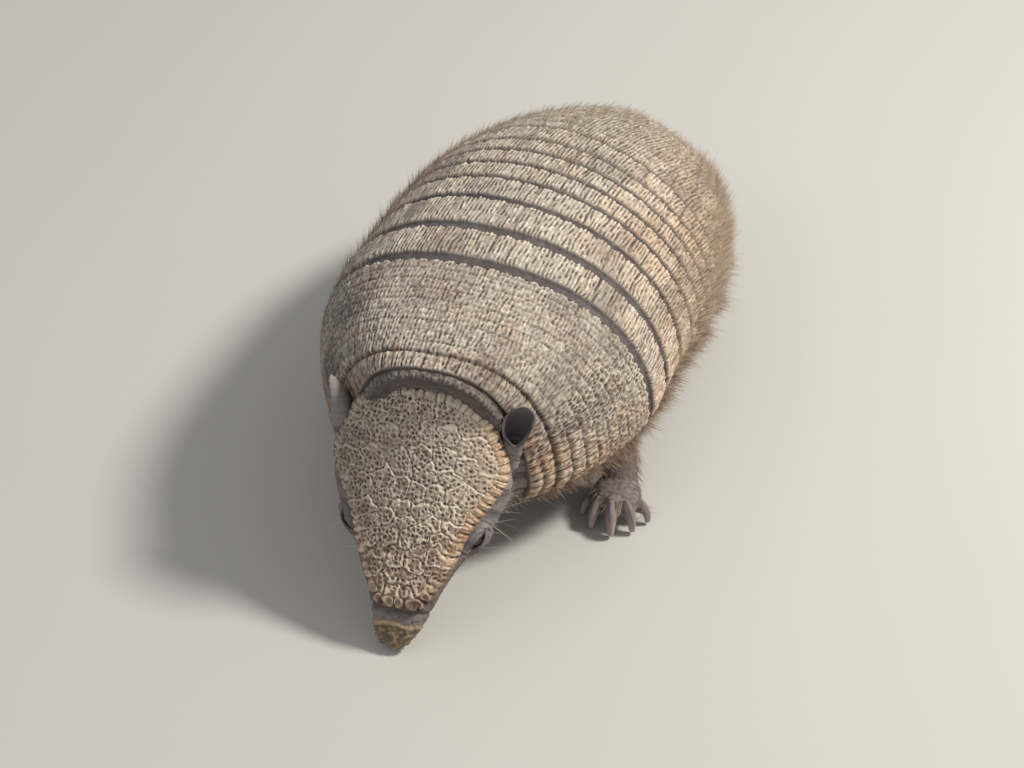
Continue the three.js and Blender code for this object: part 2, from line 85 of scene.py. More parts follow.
def curveThrough(places, values):
    places, values = np.array(places, float), np.array(values, float)
    widths = np.diff(places)
    rises = np.diff(values) / widths
    slopes = np.zeros(len(places))
    slopes[1:-1] = (rises[:-1] * widths[1:] + rises[1:] * widths[:-1]) / (widths[:-1] + widths[1:])
    slopes[0] = 2 * rises[0] - slopes[1]
    slopes[-1] = 2 * rises[-1] - slopes[-2]

    def at(place):
        x = np.clip(place, places[0], places[-1])
        i = np.clip(np.searchsorted(places, x) - 1, 0, len(widths) - 1)
        t = (x - places[i]) / widths[i]
        s = 1 - t
        ends = values[i] * (1 + 2 * t) * s * s + values[i + 1] * t * t * (3 - 2 * t)
        return ends + widths[i] * (slopes[i] * t * s * s - slopes[i + 1] * t * t * s)

    return at


tableSize = 256
noiseTable = rng.random((tableSize, tableSize))


def chanceOf(i, j, offset=0):  # one fixed random number for each pair of whole numbers
    i, j = np.asarray(i).astype(int), np.asarray(j).astype(int)
    return noiseTable[(i + 31 * offset) % tableSize, (j + 57 * offset + 7 * i) % tableSize]


def noise(x, y, offset=0):  # smooth values from 0 to 1
    x, y = np.broadcast_arrays(x, y)
    i, j = np.floor(x).astype(int), np.floor(y).astype(int)
    u, v = smoothStep(0, 1, x - i), smoothStep(0, 1, y - j)

    def row(k):
        first, second = (noiseTable[(i + n + offset) % tableSize, (j + k) % tableSize] for n in (0, 1))
        return blend(first, second, u)

    return blend(row(0), row(1), v)


def noise3(points, scale, offset=0):
    x, y, z = (points * scale).T
    layer = np.floor(z).astype(int)
    below, above = (noise(x + 17 * k, y + 29 * k, offset) for k in (layer, layer + 1))
    return blend(below, above, smoothStep(0, 1, z - layer))


# ---- the forms that the part is built from, in its millimetres

shell = {
    "stations": [0, 12, 25, 50, 112, 175, 225, 250, 262, 268],
    "topHeights": [118, 119.8, 121.2, 123.4, 125.5, 118.1, 97.5, 82.1, 70, 60],
    "halfWidths": [38.4, 51, 61, 73.1, 78.6, 77.3, 61.8, 45.2, 32, 20],
    "formLength": 250,
    "widestLevels": (48.6, 54.5),
    "archPowers": (2.53, 1.61),
    "rimDrop": 12,
    "rimTuck": 4,
    "domeShare": 0.86,
    "frontY": -120,
    "leanStations": [25, 125, 225],
    "leans": [-0.224, -0.156, 0.095],
    "leanLevel": 60,
    "bend": 0.0011,
    "straightStation": 119,
    "shieldThickness": 4,
}
# station and width of the folds between the shell's plates
folds = [(66.8, 3.4), (89.5, 3.0), (111.9, 1.6), (128.2, 0.9)]
folds += [(139.8, 0.9), (150.9, 0.9), (161.6, 0.9), (176.2, 0.9)]
topHeight = curveThrough(shell["stations"], shell["topHeights"])
halfWidth = curveThrough(shell["stations"], shell["halfWidths"])


def spineAt(station):
    past = station - shell["straightStation"]
    return shell["bend"] * past * past / 2, shell["bend"] * past


def ringPoint(station, x, z):
    spineX, heading = spineAt(station)
    lean = np.interp(station, shell["leanStations"], shell["leans"])
    y = station + shell["frontY"] + lean * (z - shell["leanLevel"])
    return np.stack(np.broadcast_arrays(spineX + x * np.cos(heading), y - x * np.sin(heading), z), -1)


def ringForm(station):
    share = np.clip(station / shell["formLength"], 0, 1)
    (frontLevel, rearLevel), (frontPower, rearPower) = shell["widestLevels"], shell["archPowers"]
    return frontLevel + (rearLevel - frontLevel) * share, frontPower + (rearPower - frontPower) * share


def shellPoint(station, girth, inset):  # girth runs from -1 at the right rim to 1 at the left
    level, power = ringForm(station)
    across = np.clip(np.abs(girth) / shell["domeShare"], 0, 1) * (math.pi / 2)
    rim = np.clip((np.abs(girth) - shell["domeShare"]) / (1 - shell["domeShare"]), 0, 1)
    x = (halfWidth(station) - inset) * powered(np.sin(across), power) - shell["rimTuck"] * rim * rim
    z = level + (topHeight(station) - inset - level) * powered(np.cos(across), power)
    return ringPoint(station, np.sign(girth) * x, z - shell["rimDrop"] * rim)


# a place outwards from the spine, along and up, moved by a limb's shift
def standing(place, side, shift=(0, 0), lift=0.0):
    out, y, z = place[0] + shift[0], place[1] + shift[1], place[2] + lift
    spineX, _ = spineAt(y - shell["frontY"])
    return np.array([spineX + side * out, y, z], float)


head = {
    "origin": (4.6, -130, 104.8),
    "yaw": 7.3,
    "pitch": 60,
    "shieldLength": 95.6,
    "shieldShares": [0, 0.06, 0.2, 0.38, 0.5, 0.6, 0.8, 0.94, 1],
    "shieldHalfWidths": [11, 24.4, 34.6, 39.3, 33.6, 28, 20.9, 14, 9.8],
    "shieldThickness": 3.2,
    "sag": 11,
    "sagAcross": 40,
    "fleshStations": [4, 12, 25, 38, 57, 75, 90, 100, 108, 114.5],
    "fleshHalfWidths": [13, 22, 32, 38.5, 34, 23, 15.8, 12.6, 10.8, 8.6],
    "fleshDepths": [24, 34, 43, 44, 38, 28, 21, 18, 15.5, 13.5],
    "sectionPowers": (2.3, 3, 2.2),  # across, above and below the cheeks
    "cheekShare": 0.42,
    "noseStation": 107,
    "noseFrom": (96, 112),  # the snout narrows and turns between these
    "noseNarrow": 0.16,
    "noseTurn": -1.2,
}
eye = {"along": 62.8, "across": 27, "below": 13, "radius": 3.7, "slant": 22, "ball": (30, 36)}

yaw, pitch = math.radians(head["yaw"]), math.radians(head["pitch"])
headForward = np.array([math.sin(yaw) * math.cos(pitch), -math.cos(yaw) * math.cos(pitch), -math.sin(pitch)])
headLeft = np.array([math.cos(yaw), math.sin(yaw), 0.0])
headUp = -np.cross(headLeft, headForward)
shieldStations = [share * head["shieldLength"] for share in head["shieldShares"]]
shieldHalfWidth = curveThrough(shieldStations, head["shieldHalfWidths"])
fleshHalfWidth = curveThrough(head["fleshStations"], head["fleshHalfWidths"])
fleshDepth = curveThrough(head["fleshStations"], head["fleshDepths"])


def headPoint(along, across, above):
    parts = [np.asarray(v, float)[..., None] for v in np.broadcast_arrays(along, across, above)]
    return np.array(head["origin"]) + parts[0] * headForward + parts[1] * headLeft + parts[2] * headUp


def headPlace(points):  # the along, across and above of points in the head's own frame
    away = points - np.array(head["origin"])
    return away @ headForward, away @ headLeft, away @ headUp


def sagAt(across):
    return -head["sag"] * (across / head["sagAcross"]) ** 2


eyeLow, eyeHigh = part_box("eye_left")
toFrame = np.array((eyeLow + eyeHigh) / 2) / mm - headPoint(eye["along"], eye["across"], -eye["below"])
print("frame read, shift in mm:", np.round(toFrame, 3))


# ---- camera, light and floor

camera = {"place": (301.7, -811.3, 702.4), "elevation": 39.32, "azimuth": 21.42, "lens": 80.5, "sensor": 36}
cameraData = bpy.data.cameras.new("camera")
cameraData.lens = camera["lens"]
cameraData.sensor_width = camera["sensor"]
cameraObject = bpy.data.objects.new("camera", cameraData)
cameraObject.location = [v * mm for v in camera["place"]]
cameraObject.rotation_euler = (math.radians(90 - camera["elevation"]), 0, math.radians(camera["azimuth"]))
scene.collection.objects.link(cameraObject)
scene.camera = cameraObject

studio = {
    "skyColour": (0.94, 0.96, 1.0, 1),
    "skyStrength": 0.42,
    "floorColours": ((0.56, 0.54, 0.50, 1), (0.476, 0.459, 0.425, 1)),
    "floorReach": 6.0,
    "lampsAim": 0.06,  # height of the point that the lamps shine at
    # each lamp: name, direction it shines from, distance in metres, size, power, colour
    "lamps": [
        ("keyLamp", (1.1, 0.38, 1.35), 1.7, 0.34, 31, (1.0, 0.97, 0.9)),
        ("fillLamp", (-0.7, -1.0, 0.9), 1.9, 1.6, 3.5, (0.9, 0.95, 1.0)),
    ],
}


def addLamp(name, direction, distance, size, power, colour):
    data = bpy.data.lights.new(name, "AREA")
    data.shape = "DISK"
    data.size = size
    data.energy = power
    data.color = colour
    lamp = bpy.data.objects.new(name, data)
    away = unit(np.array(direction))
    lamp.location = away * distance + skyward * studio["lampsAim"]
    lamp.rotation_euler = (math.acos(away[2]), 0, math.atan2(away[1], away[0]) + math.pi / 2)
    scene.collection.objects.link(lamp)


for lamp in studio["lamps"]:
    addLamp(*lamp)
world = bpy.data.worlds.new("studio")
world.use_nodes = True
world.node_tree.nodes["Background"].inputs["Color"].default_value = studio["skyColour"]
world.node_tree.nodes["Background"].inputs["Strength"].default_value = studio["skyStrength"]
scene.world = world
scene.view_settings.view_transform = "Standard"
scene.view_settings.look = "None"


# ---- materials

class Value:
    # an output socket of a look; arithmetic on it adds Math nodes
    def __init__(self, look, socket):
        self.look = look
        self.socket = socket

    def math(self, operation, *numbers):
        return self.look.node("ShaderNodeMath", {"operation": operation}, dict(enumerate(numbers)))

    def __add__(self, other):
        return self.math("ADD", self, other)

    def __sub__(self, other):
        return self.math("SUBTRACT", self, other)

    def __mul__(self, other):
        return self.math("MULTIPLY", self, other)

    def __rsub__(self, other):
        return self.math("SUBTRACT", other, self)

    __radd__ = __add__
    __rmul__ = __mul__

    def clamped(self, low=0.0, high=1.0):
        return self.math("MAXIMUM", self.math("MINIMUM", self, high), low)


def paint(text):  # a colour written as six hexadecimal digits, as the eye sees it
    parts = [int(text[i:i + 2], 16) / 255 for i in (0, 2, 4)]
    return (*[p / 12.92 if p <= 0.04045 else ((p + 0.055) / 1.055) ** 2.4 for p in parts], 1.0)


class Look:
    def __init__(self, name):
        self.material = bpy.data.materials.new(name)
        self.material.use_nodes = True
        self.tree = self.material.node_tree
        self.shader = self.tree.nodes["Principled BSDF"]

    def node(self, kind, settings=None, sockets=None, output=0):
        made = self.tree.nodes.new(kind)
        for key, value in (settings or {}).items():
            setattr(made, key, value)
        for key, value in (sockets or {}).items():
            if isinstance(value, Value):
                self.tree.links.new(value.socket, made.inputs[key])
            else:
                made.inputs[key].default_value = paint(value) if isinstance(value, str) else value
        return Value(self, made.outputs[output])

    def mix(self, factor, first, second, blending="MIX"):
        settings = {"data_type": "RGBA", "blend_type": blending, "clamp_result": True}
        return self.node("ShaderNodeMix", settings, {0: factor, 6: first, 7: second}, 2)

    def place(self):
        return self.node("ShaderNodeTexCoord", None, None, "Object")

    def speckle(self, scale, detail=3.0, roughness=0.6):
        sockets = {"Vector": self.place(), "Scale": scale, "Detail": detail, "Roughness": roughness}
        return self.node("ShaderNodeTexNoise", None, sockets)

    def cells(self, scale):
        return self.node("ShaderNodeTexVoronoi", None, {"Vector": self.place(), "Scale": scale})

    def masks(self):  # the four numbers that a mesh carries at each of its points
        colour = self.node("ShaderNodeAttribute", {"attribute_name": "look"}, None, "Color")
        parts = self.node("ShaderNodeSeparateColor", None, {0: colour})
        fourth = self.node("ShaderNodeAttribute", {"attribute_name": "look"}, None, "Alpha")
        return [Value(self, parts.socket.node.outputs[i]) for i in range(3)] + [fourth]

    def uneven(self, level, *speckles):  # a level with each speckle added by its share, within 0 and 1
        for speckle, share in speckles:
            level = level + (speckle - 0.5) * share
        return level.clamped()

    def bump(self, height, distance, strength):
        sockets = {"Height": height, "Distance": distance, "Strength": strength}
        return self.node("ShaderNodeBump", None, sockets)

    def finish(self, links, constants):
        for key, value in links.items():
            self.tree.links.new(value.socket, self.shader.inputs[key])
        for key, value in constants.items():
            self.shader.inputs[key].default_value = value
        return self.material


plateFinish = {
    "ridge": "e5dcca",
    "groove": "766c62",
    "pit": "463c35",
    "warm": "c8845a",
    "cool": "6b6270",
    "mottleScale": 55,
    "grainScale": 900,
    "fineScale": 2600,
    "uneven": 0.3,
    "bumpDepth": 0.0002,
    "dullness": 0.84,
}


def plateMaterial():
    look, finish = Look("plate"), plateFinish
    light, pit, warm, cool = look.masks()
    blotch = look.speckle(finish["mottleScale"], 4.0, 0.65)
    grain = look.speckle(finish["grainScale"])
    level = look.uneven(light, (blotch, finish["uneven"]), (grain, finish["uneven"]))
    colour = look.mix(level, finish["groove"], finish["ridge"])
    tinted = look.mix((warm * (0.5 + blotch * 0.7)).clamped(0, 0.8), colour, finish["warm"], "SOFT_LIGHT")
    # a cool grey multiplied in by the cool mask: real greyer patches, and painted shade on the shaded parts
    soiledAndShaded = look.mix((cool * 0.9).clamped(), tinted, finish["cool"], "MULTIPLY")
    pitted = look.mix(pit.clamped(), soiledAndShaded, finish["pit"])
    bump = look.bump(grain * 0.7 + look.speckle(finish["fineScale"], 2.0) * 0.3, finish["bumpDepth"], 0.8)
    roughness = finish["dullness"] - light * 0.2 + (grain - 0.5) * 0.2
    links = {"Base Color": pitted, "Roughness": roughness, "Normal": bump}
    return look.finish(links, {"Specular IOR Level": 0.35})


skinFinish = {
    "skin": "8f8785",
    "crease": "3a3334",
    "under": "4a424a",
    "nose": "4d4234",
    "noseRidge": "ab9474",
    "hide": "6a5a50",
    "mottleScale": 70,
    "grainScale": 1100,
    "poreScale": 620,
    "bumpDepth": 0.0003,
    "dullness": 0.72,
}


def skinMaterial():
    look, finish = Look("skin"), skinFinish
    light, nose, under, hide = look.masks()
    blotch = look.speckle(finish["mottleScale"], 4.0)
    grain = look.speckle(finish["grainScale"])
    level = look.uneven(light, (blotch, 0.4), (grain, 0.25))
    bare = look.mix(level, finish["crease"], finish["skin"])
    hairy = look.mix(hide.clamped(), bare, finish["hide"])
    # painted shade: the ear's cup and the skin under the shell are darkened towards the under colour
    shadedSkin = look.mix(under.clamped(), hairy, finish["under"])
    pad = look.mix(level, finish["nose"], finish["noseRidge"])
    colour = look.mix(nose.clamped(), shadedSkin, pad)
    bump = look.bump(grain * 0.5 + look.cells(finish["poreScale"]) * 0.5, finish["bumpDepth"], 0.7)
    roughness = finish["dullness"] - nose * 0.2 + (grain - 0.5) * 0.2
    links = {"Base Color": colour, "Roughness": roughness, "Normal": bump}
    return look.finish(links, {"Specular IOR Level": 0.4})


hairFinish = {"dark": "54433a", "ginger": "9a6f53", "pale": "d9cdb8", "strandScale": 400, "dullness": 0.5}


def hairMaterial():
    look, finish = Look("hair"), hairFinish
    dark, pale, _, _ = look.masks()
    strand = look.speckle(finish["strandScale"], 2.0)
    ginger = look.mix(look.uneven(dark, (strand, 0.3)), finish["ginger"], finish["dark"])
    colour = look.mix(pale.clamped(), ginger, finish["pale"])
    return look.finish(
        {"Base Color": colour, "Roughness": finish["dullness"] + strand * 0.2}, {"Specular IOR Level": 0.3}
    )


clawFinish = {"root": "6b5d60", "tip": "b3a49c", "crack": "3f3538", "dullness": 0.42, "bumpDepth": 0.00015}


def clawMaterial():
    look, finish = Look("claw"), clawFinish
    tip, groove, _, _ = look.masks()
    blotch = look.speckle(160, 4.0)
    colour = look.mix(look.uneven(tip, (blotch, 0.5)), finish["root"], finish["tip"])
    lined = look.mix((groove * (0.5 + blotch)).clamped(), colour, finish["crack"])
    bump = look.bump(look.speckle(900), finish["bumpDepth"], 0.6)
    roughness = finish["dullness"] + blotch * 0.2
    return look.finish({"Base Color": lined, "Roughness": roughness, "Normal": bump}, {})


eyeFinish = {"iris": "2a1a10", "irisDark": "120b08", "pupil": "050403", "rim": "4a3a34"}


def eyeMaterial():
    look, finish = Look("eye"), eyeFinish
    pupil, white, _, _ = look.masks()
    fleck = look.speckle(1500)
    iris = look.mix(fleck, finish["iris"], finish["irisDark"])
    colour = look.mix(pupil.clamped(), iris, finish["pupil"])
    rimmed = look.mix((white * 0.8).clamped(), colour, finish["rim"])
    return look.finish(
        {"Base Color": rimmed, "Roughness": 0.08 + fleck * 0.05}, {"Coat Weight": 0.6, "Coat Roughness": 0.03}
    )


def floorMaterial():
    look = Look("floor")
    colour = look.mix(look.speckle(3) * 0.25, *studio["floorColours"])
    return look.finish({"Base Color": colour}, {"Roughness": 0.9})


floorMesh = bpy.data.meshes.new("floor")
floorReach = studio["floorReach"]
corners = [(floorReach * x, floorReach * y, 0) for x, y in ((-1, -1), (1, -1), (1, 1), (-1, 1))]
floorMesh.from_pydata(corners, [], [(0, 1, 2, 3)])
floor = bpy.data.objects.new("floor", floorMesh)
floor.data.materials.append(floorMaterial())
scene.collection.objects.link(floor)

materials = {
    "plate": plateMaterial(),
    "skin": skinMaterial(),
    "hair": hairMaterial(),
    "claw": clawMaterial(),
    "eye": eyeMaterial(),
}
print("studio and materials ready")


# ---- making and keeping meshes

def makeMesh(name, points, faces, material, looks=None, patches=None):  # faces are groups of equal sizes
    mesh = bpy.data.meshes.new(name)
    loops = np.concatenate([group.ravel() for group in faces])
    sizes = np.concatenate([np.full(len(group), group.shape[1]) for group in faces])
    mesh.vertices.add(len(points))
    mesh.vertices.foreach_set("co", ((points + toFrame) * mm).astype(np.float32).ravel())
    mesh.loops.add(len(loops))
    mesh.loops.foreach_set("vertex_index", loops.astype(np.int32))
    mesh.polygons.add(len(sizes))
    mesh.polygons.foreach_set("loop_start", (np.cumsum(sizes) - sizes).astype(np.int32))
    mesh.update(calc_edges=True)
    if looks is not None:
        layer = mesh.attributes.new("look", "FLOAT_COLOR", "POINT")
        layer.data.foreach_set("color", looks.astype(np.float32).ravel())
    if patches is not None:  # one place on the skin's unwrap for each point
        layer = mesh.uv_layers.new(name="OFBake")
        layer.data.foreach_set("uv", patches[loops].astype(np.float32).ravel())
    mesh.shade_smooth()
    mesh.materials.append(materials[material])
    piece = bpy.data.objects.new(name, mesh)
    scene.collection.objects.link(piece)
    return piece


def keepPiece(piece, slot, *nodes):
    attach(piece, "root")
    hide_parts(*nodes)
    print(piece.name, len(piece.data.polygons), "faces")


def looksOf(*parts):  # the four numbers of a look for each point
    return np.clip(np.stack(np.broadcast_arrays(*parts), -1), 0, 1)


def gridFaces(rows, columns, closed=False):
    i = np.arange(rows - 1)[:, None]
    j = np.arange(columns if closed else columns - 1)[None]
    k = (j + 1) % columns
    a, b, c, d = i * columns + j, i * columns + k, (i + 1) * columns + k, (i + 1) * columns + j
    return np.stack([a, b, c, d], -1).reshape(-1, 4)


def gridNormals(points, outwards):
    normals = unit(np.cross(np.gradient(points, axis=1), np.gradient(points, axis=0)))
    return normals * np.sign((normals * outwards).sum(-1).mean())


def loft(rings):  # closed rings of points, with a fan over each end
    rings = np.array(rings)
    count, sides = rings.shape[:2]
    points = np.concatenate([rings.reshape(-1, 3), rings[[0, -1]].mean(1)])
    around = np.arange(sides)
    after = (around + 1) % sides
    last = (count - 1) * sides
    firstFan = np.stack([after, around, np.full(sides, count * sides)], 1)
    lastFan = np.stack([last + around, last + after, np.full(sides, count * sides + 1)], 1)
    faces = [gridFaces(count, sides, closed=True), firstFan, lastFan]
    volume = 0
    for group in faces:
        corner = points[group]
        for k in range(1, group.shape[1] - 1):
            volume += (corner[:, 0] * np.cross(corner[:, k], corner[:, k + 1])).sum()
    return points, faces if volume > 0 else [group[:, ::-1] for group in faces]


def loftLooks(looks):  # the rings' looks, with the first and last ring's for the ends' middles
    looks = np.array(looks)
    return np.concatenate([looks.reshape(-1, 4), looks[[0, -1], 0]])


def joined(forms):  # several forms' points and faces as one
    points, faces, start = [], [], 0
    for formPoints, formFaces in forms:
        points.append(formPoints)
        faces += [group + start for group in formFaces]
        start += len(formPoints)
    return np.concatenate(points), faces


def plateMesh(name, points, outwards, heights, looks, skirt):
    # a grid raised along its normals, with skirts down to the skin along its four edges
    def padded(grid):
        return np.pad(grid, ((1, 1), (1, 1), (0, 0)), "edge")

    normals = gridNormals(points, outwards)
    surface, drops = padded(points + normals * heights[..., None]), padded(normals * skirt)
    drops[1:-1, 1:-1] = 0
    surface = surface - drops
    faces = [gridFaces(*surface.shape[:2])]
    return makeMesh(name, surface.reshape(-1, 3), faces, "plate", padded(looks).reshape(-1, 4))


# ---- scutes

plateLook = {
    "stepAcross": 0.42,
    "stepAlong": 0.54,
    "sink": 0.75,  # the plates' middle level, below the part's surface
    "ridgeHeight": 0.36,
    "bossHeight": 0.34,
    "pitDepth": 0.5,
    "seamDepth": 0.42,
    "grooveDepth": 0.9,
    "skirt": 4.6,
    "foldDepth": 2.3,
    "frontDepth": 1.9,  # of the shoulder shield's front edge, which has no fold
    "edgeDepth": 1.8,  # how far the scalloped rear edge falls away
    "wander": 0.16,  # how far the seams along the body stray, in scutes
    # width and length of the cells in the middle and on the sides: net on the shoulders, streaks behind
    "shoulderCells": ((1.7, 3.2), (1.85, 3.0)),
    "bandCells": ((1.85, 4.6), (2.0, 4.4)),
    "rumpCells": ((1.85, 4.2), (2.0, 4.0)),
    # stations and the scutes' widths at them
    "shoulderWidths": ([0, 9, 12, 66], [4.7, 4.9, 6.0, 6.4]),
    "bandWidths": ([0, 268], [8.4, 8.4]),
    "rumpWidths": ([176, 268], [7.6, 6.4]),
}
fineGirths = np.linspace(0, 1, 240)


def arcAt(station):  # the distance round the shell from its middle line to each of the fine girths
    return travelled(shellPoint(station, fineGirths, 0))


def arcGrid(stations, shares):  # girths that lie at even shares of each ring's arc, and half the arc's length
    arcs = [arcAt(station) for station in stations]
    girths = [np.sign(shares) * np.interp(np.abs(shares) * arc[-1], arc, fineGirths) for arc in arcs]
    return np.array(girths), np.array([arc[-1] for arc in arcs])


# the distances to the nearest two of scattered points, and the nearest one's chance
def jitteredCells(x, y, offset):
    i, j = np.floor(x), np.floor(y)
    best, second, owner = np.full(x.shape, 9.0), np.full(x.shape, 9.0), np.zeros(x.shape)
    for a, b in ((i + di, j + dj) for di in (-1, 0, 1) for dj in (-1, 0, 1)):
        placeX, placeY = a + 0.1 + 0.8 * chanceOf(a, b, offset), b + 0.1 + 0.8 * chanceOf(a, b, offset + 1)
        away = np.hypot(placeX - x, placeY - y)
        closer = away < best
        second = np.where(closer, best, np.minimum(second, away))
        owner = np.where(closer, chanceOf(a, b, offset + 2), owner)
        best = np.where(closer, away, best)
    return best, second, owner


# The patterns give three values at each point: raised line, pit and boss.

# a net of raised lines with a pit in most of its cells and a low boss in the others
def webbed(x, y, size, offset, filled=0.12, line=0.42, hole=0.46):
    wander = 1.1 * (noise(x * 0.45, y * 0.3, offset + 3) - 0.5)
    near, following, owner = jitteredCells((x + wander) / size[0], y / size[1], offset)
    worn = 0.3 + 0.7 * smoothStep(0.3, 0.6, noise(x * 0.9, y * 0.6, offset + 7))
    ridge = smoothStep(line, 0.08, following - near) * worn
    pit = smoothStep(hole, hole - 0.28, near) * smoothStep(filled, filled + 0.15, owner)
    boss = smoothStep(filled, filled - 0.1, owner) * smoothStep(0.55, 0.2, near)
    return np.stack([ridge, pit * (0.3 + 0.65 * owner), boss])


# narrow raised streaks along the body, some lighter than others, with dark dashes in the grooves between them
def streaked(x, y, size, offset):
    wander = 1.5 * (noise(x * 0.2, y * 0.12, offset + 3) - 0.5)
    wander = wander + 0.5 * (noise(x * 0.8, y * 0.4, offset + 4) - 0.5)
    column = (x + wander) / size[0]
    number = np.floor(column)
    run = y / size[1] + 5 * chanceOf(number, 3, offset)
    part = run - np.floor(run)
    chance = chanceOf(number, np.floor(run), offset + 1)
    across = np.abs(column - number - 0.35 - 0.3 * chance) * 2
    ends = smoothStep(0, 0.14, part) * smoothStep(1, 0.86, part)
    streak = smoothStep(0.85, 0.25, across) * ends * (0.35 + 0.65 * chance)
    edge = np.round(column)
    between = smoothStep(0.32, 0.1, np.abs(column - edge))
    dash = between * smoothStep(0.36, 0.6, noise(edge * 3.7 + 0.3, y / size[1] * 2.0, offset + 5))
    return np.stack([0.14 + 0.86 * streak, dash * 0.9, streak * smoothStep(0.75, 1.0, chance)])


def netted(x, y, size, offset):  # short streaks over a net
    return 0.55 * webbed(x, y, size, offset) + 0.55 * streaked(x, y, (size[0] + 0.15, size[1]), offset + 20)


# How far each point is from the middle of its scute, across and along, as shares of the scute's half sizes,
# then those half sizes, and the numbers of its row and of its place in the row.
def scuteCells(station, share, halves, rowEdges, widths):
    edges = np.array(rowEdges, float)
    rows = np.clip(np.searchsorted(edges, station, side="right") - 1, 0, len(edges) - 2)
    middle, halfLength = (edges[rows] + edges[rows + 1]) / 2, (edges[rows + 1] - edges[rows]) / 2
    counts = np.round(2 * np.interp(middle, station[:, 0], halves[:, 0]) / np.interp(middle, *widths))
    column = (share + 1) / 2 * counts + 0.5 * (rows % 2)
    column = column + (noise(column * 0.9, rows * 3.3 + station * 0.12, 9) - 0.5) * plateLook["wander"]
    number = np.floor(column)
    across, along = np.abs(column - number - 0.5) * 2, np.abs(station - middle) / halfLength
    return across, along, halves / counts, halfLength, rows, number


def plateColours(light, pit, seam, station, share):
    side = smoothStep(0.6, 1.0, np.abs(share))
    front = smoothStep(40, 4, station)
    patch = noise(station * 0.09, share * 14, 21)
    fine = noise(station * 0.35, share * 40, 23)
    firstRow = bell(station, 4.5, 6)
    # painted sunlight: the bands on the left side, behind the shoulders, are made lighter and warmer
    paintedSunlight = smoothStep(0.1, 0.6, share) * smoothStep(50, 130, station)
    warm = side * (0.25 + 0.6 * front) * (0.5 + patch) + firstRow * 0.5 * patch
    warm = warm + 0.35 * smoothStep(0.5, 0.8, patch) * fine + 0.42 * paintedSunlight + 0.1
    # painted shade: the right side, more so towards the front, is made cooler and darker
    paintedRightShade = (0.4 + 0.22 * smoothStep(75, 45, station)) * smoothStep(0.1, 0.9, -share)
    cool = smoothStep(0.45, 0.8, noise(station * 0.05 + 9, share * 9, 33)) * 0.3
    cool = cool + paintedRightShade + 0.15 * smoothStep(165, 225, station) + 0.12
    dark = pit + 0.55 * seam
    return [np.clip(v, 0, 1) for v in np.broadcast_arrays(light + 0.22 * paintedSunlight, dark, warm, cool)]


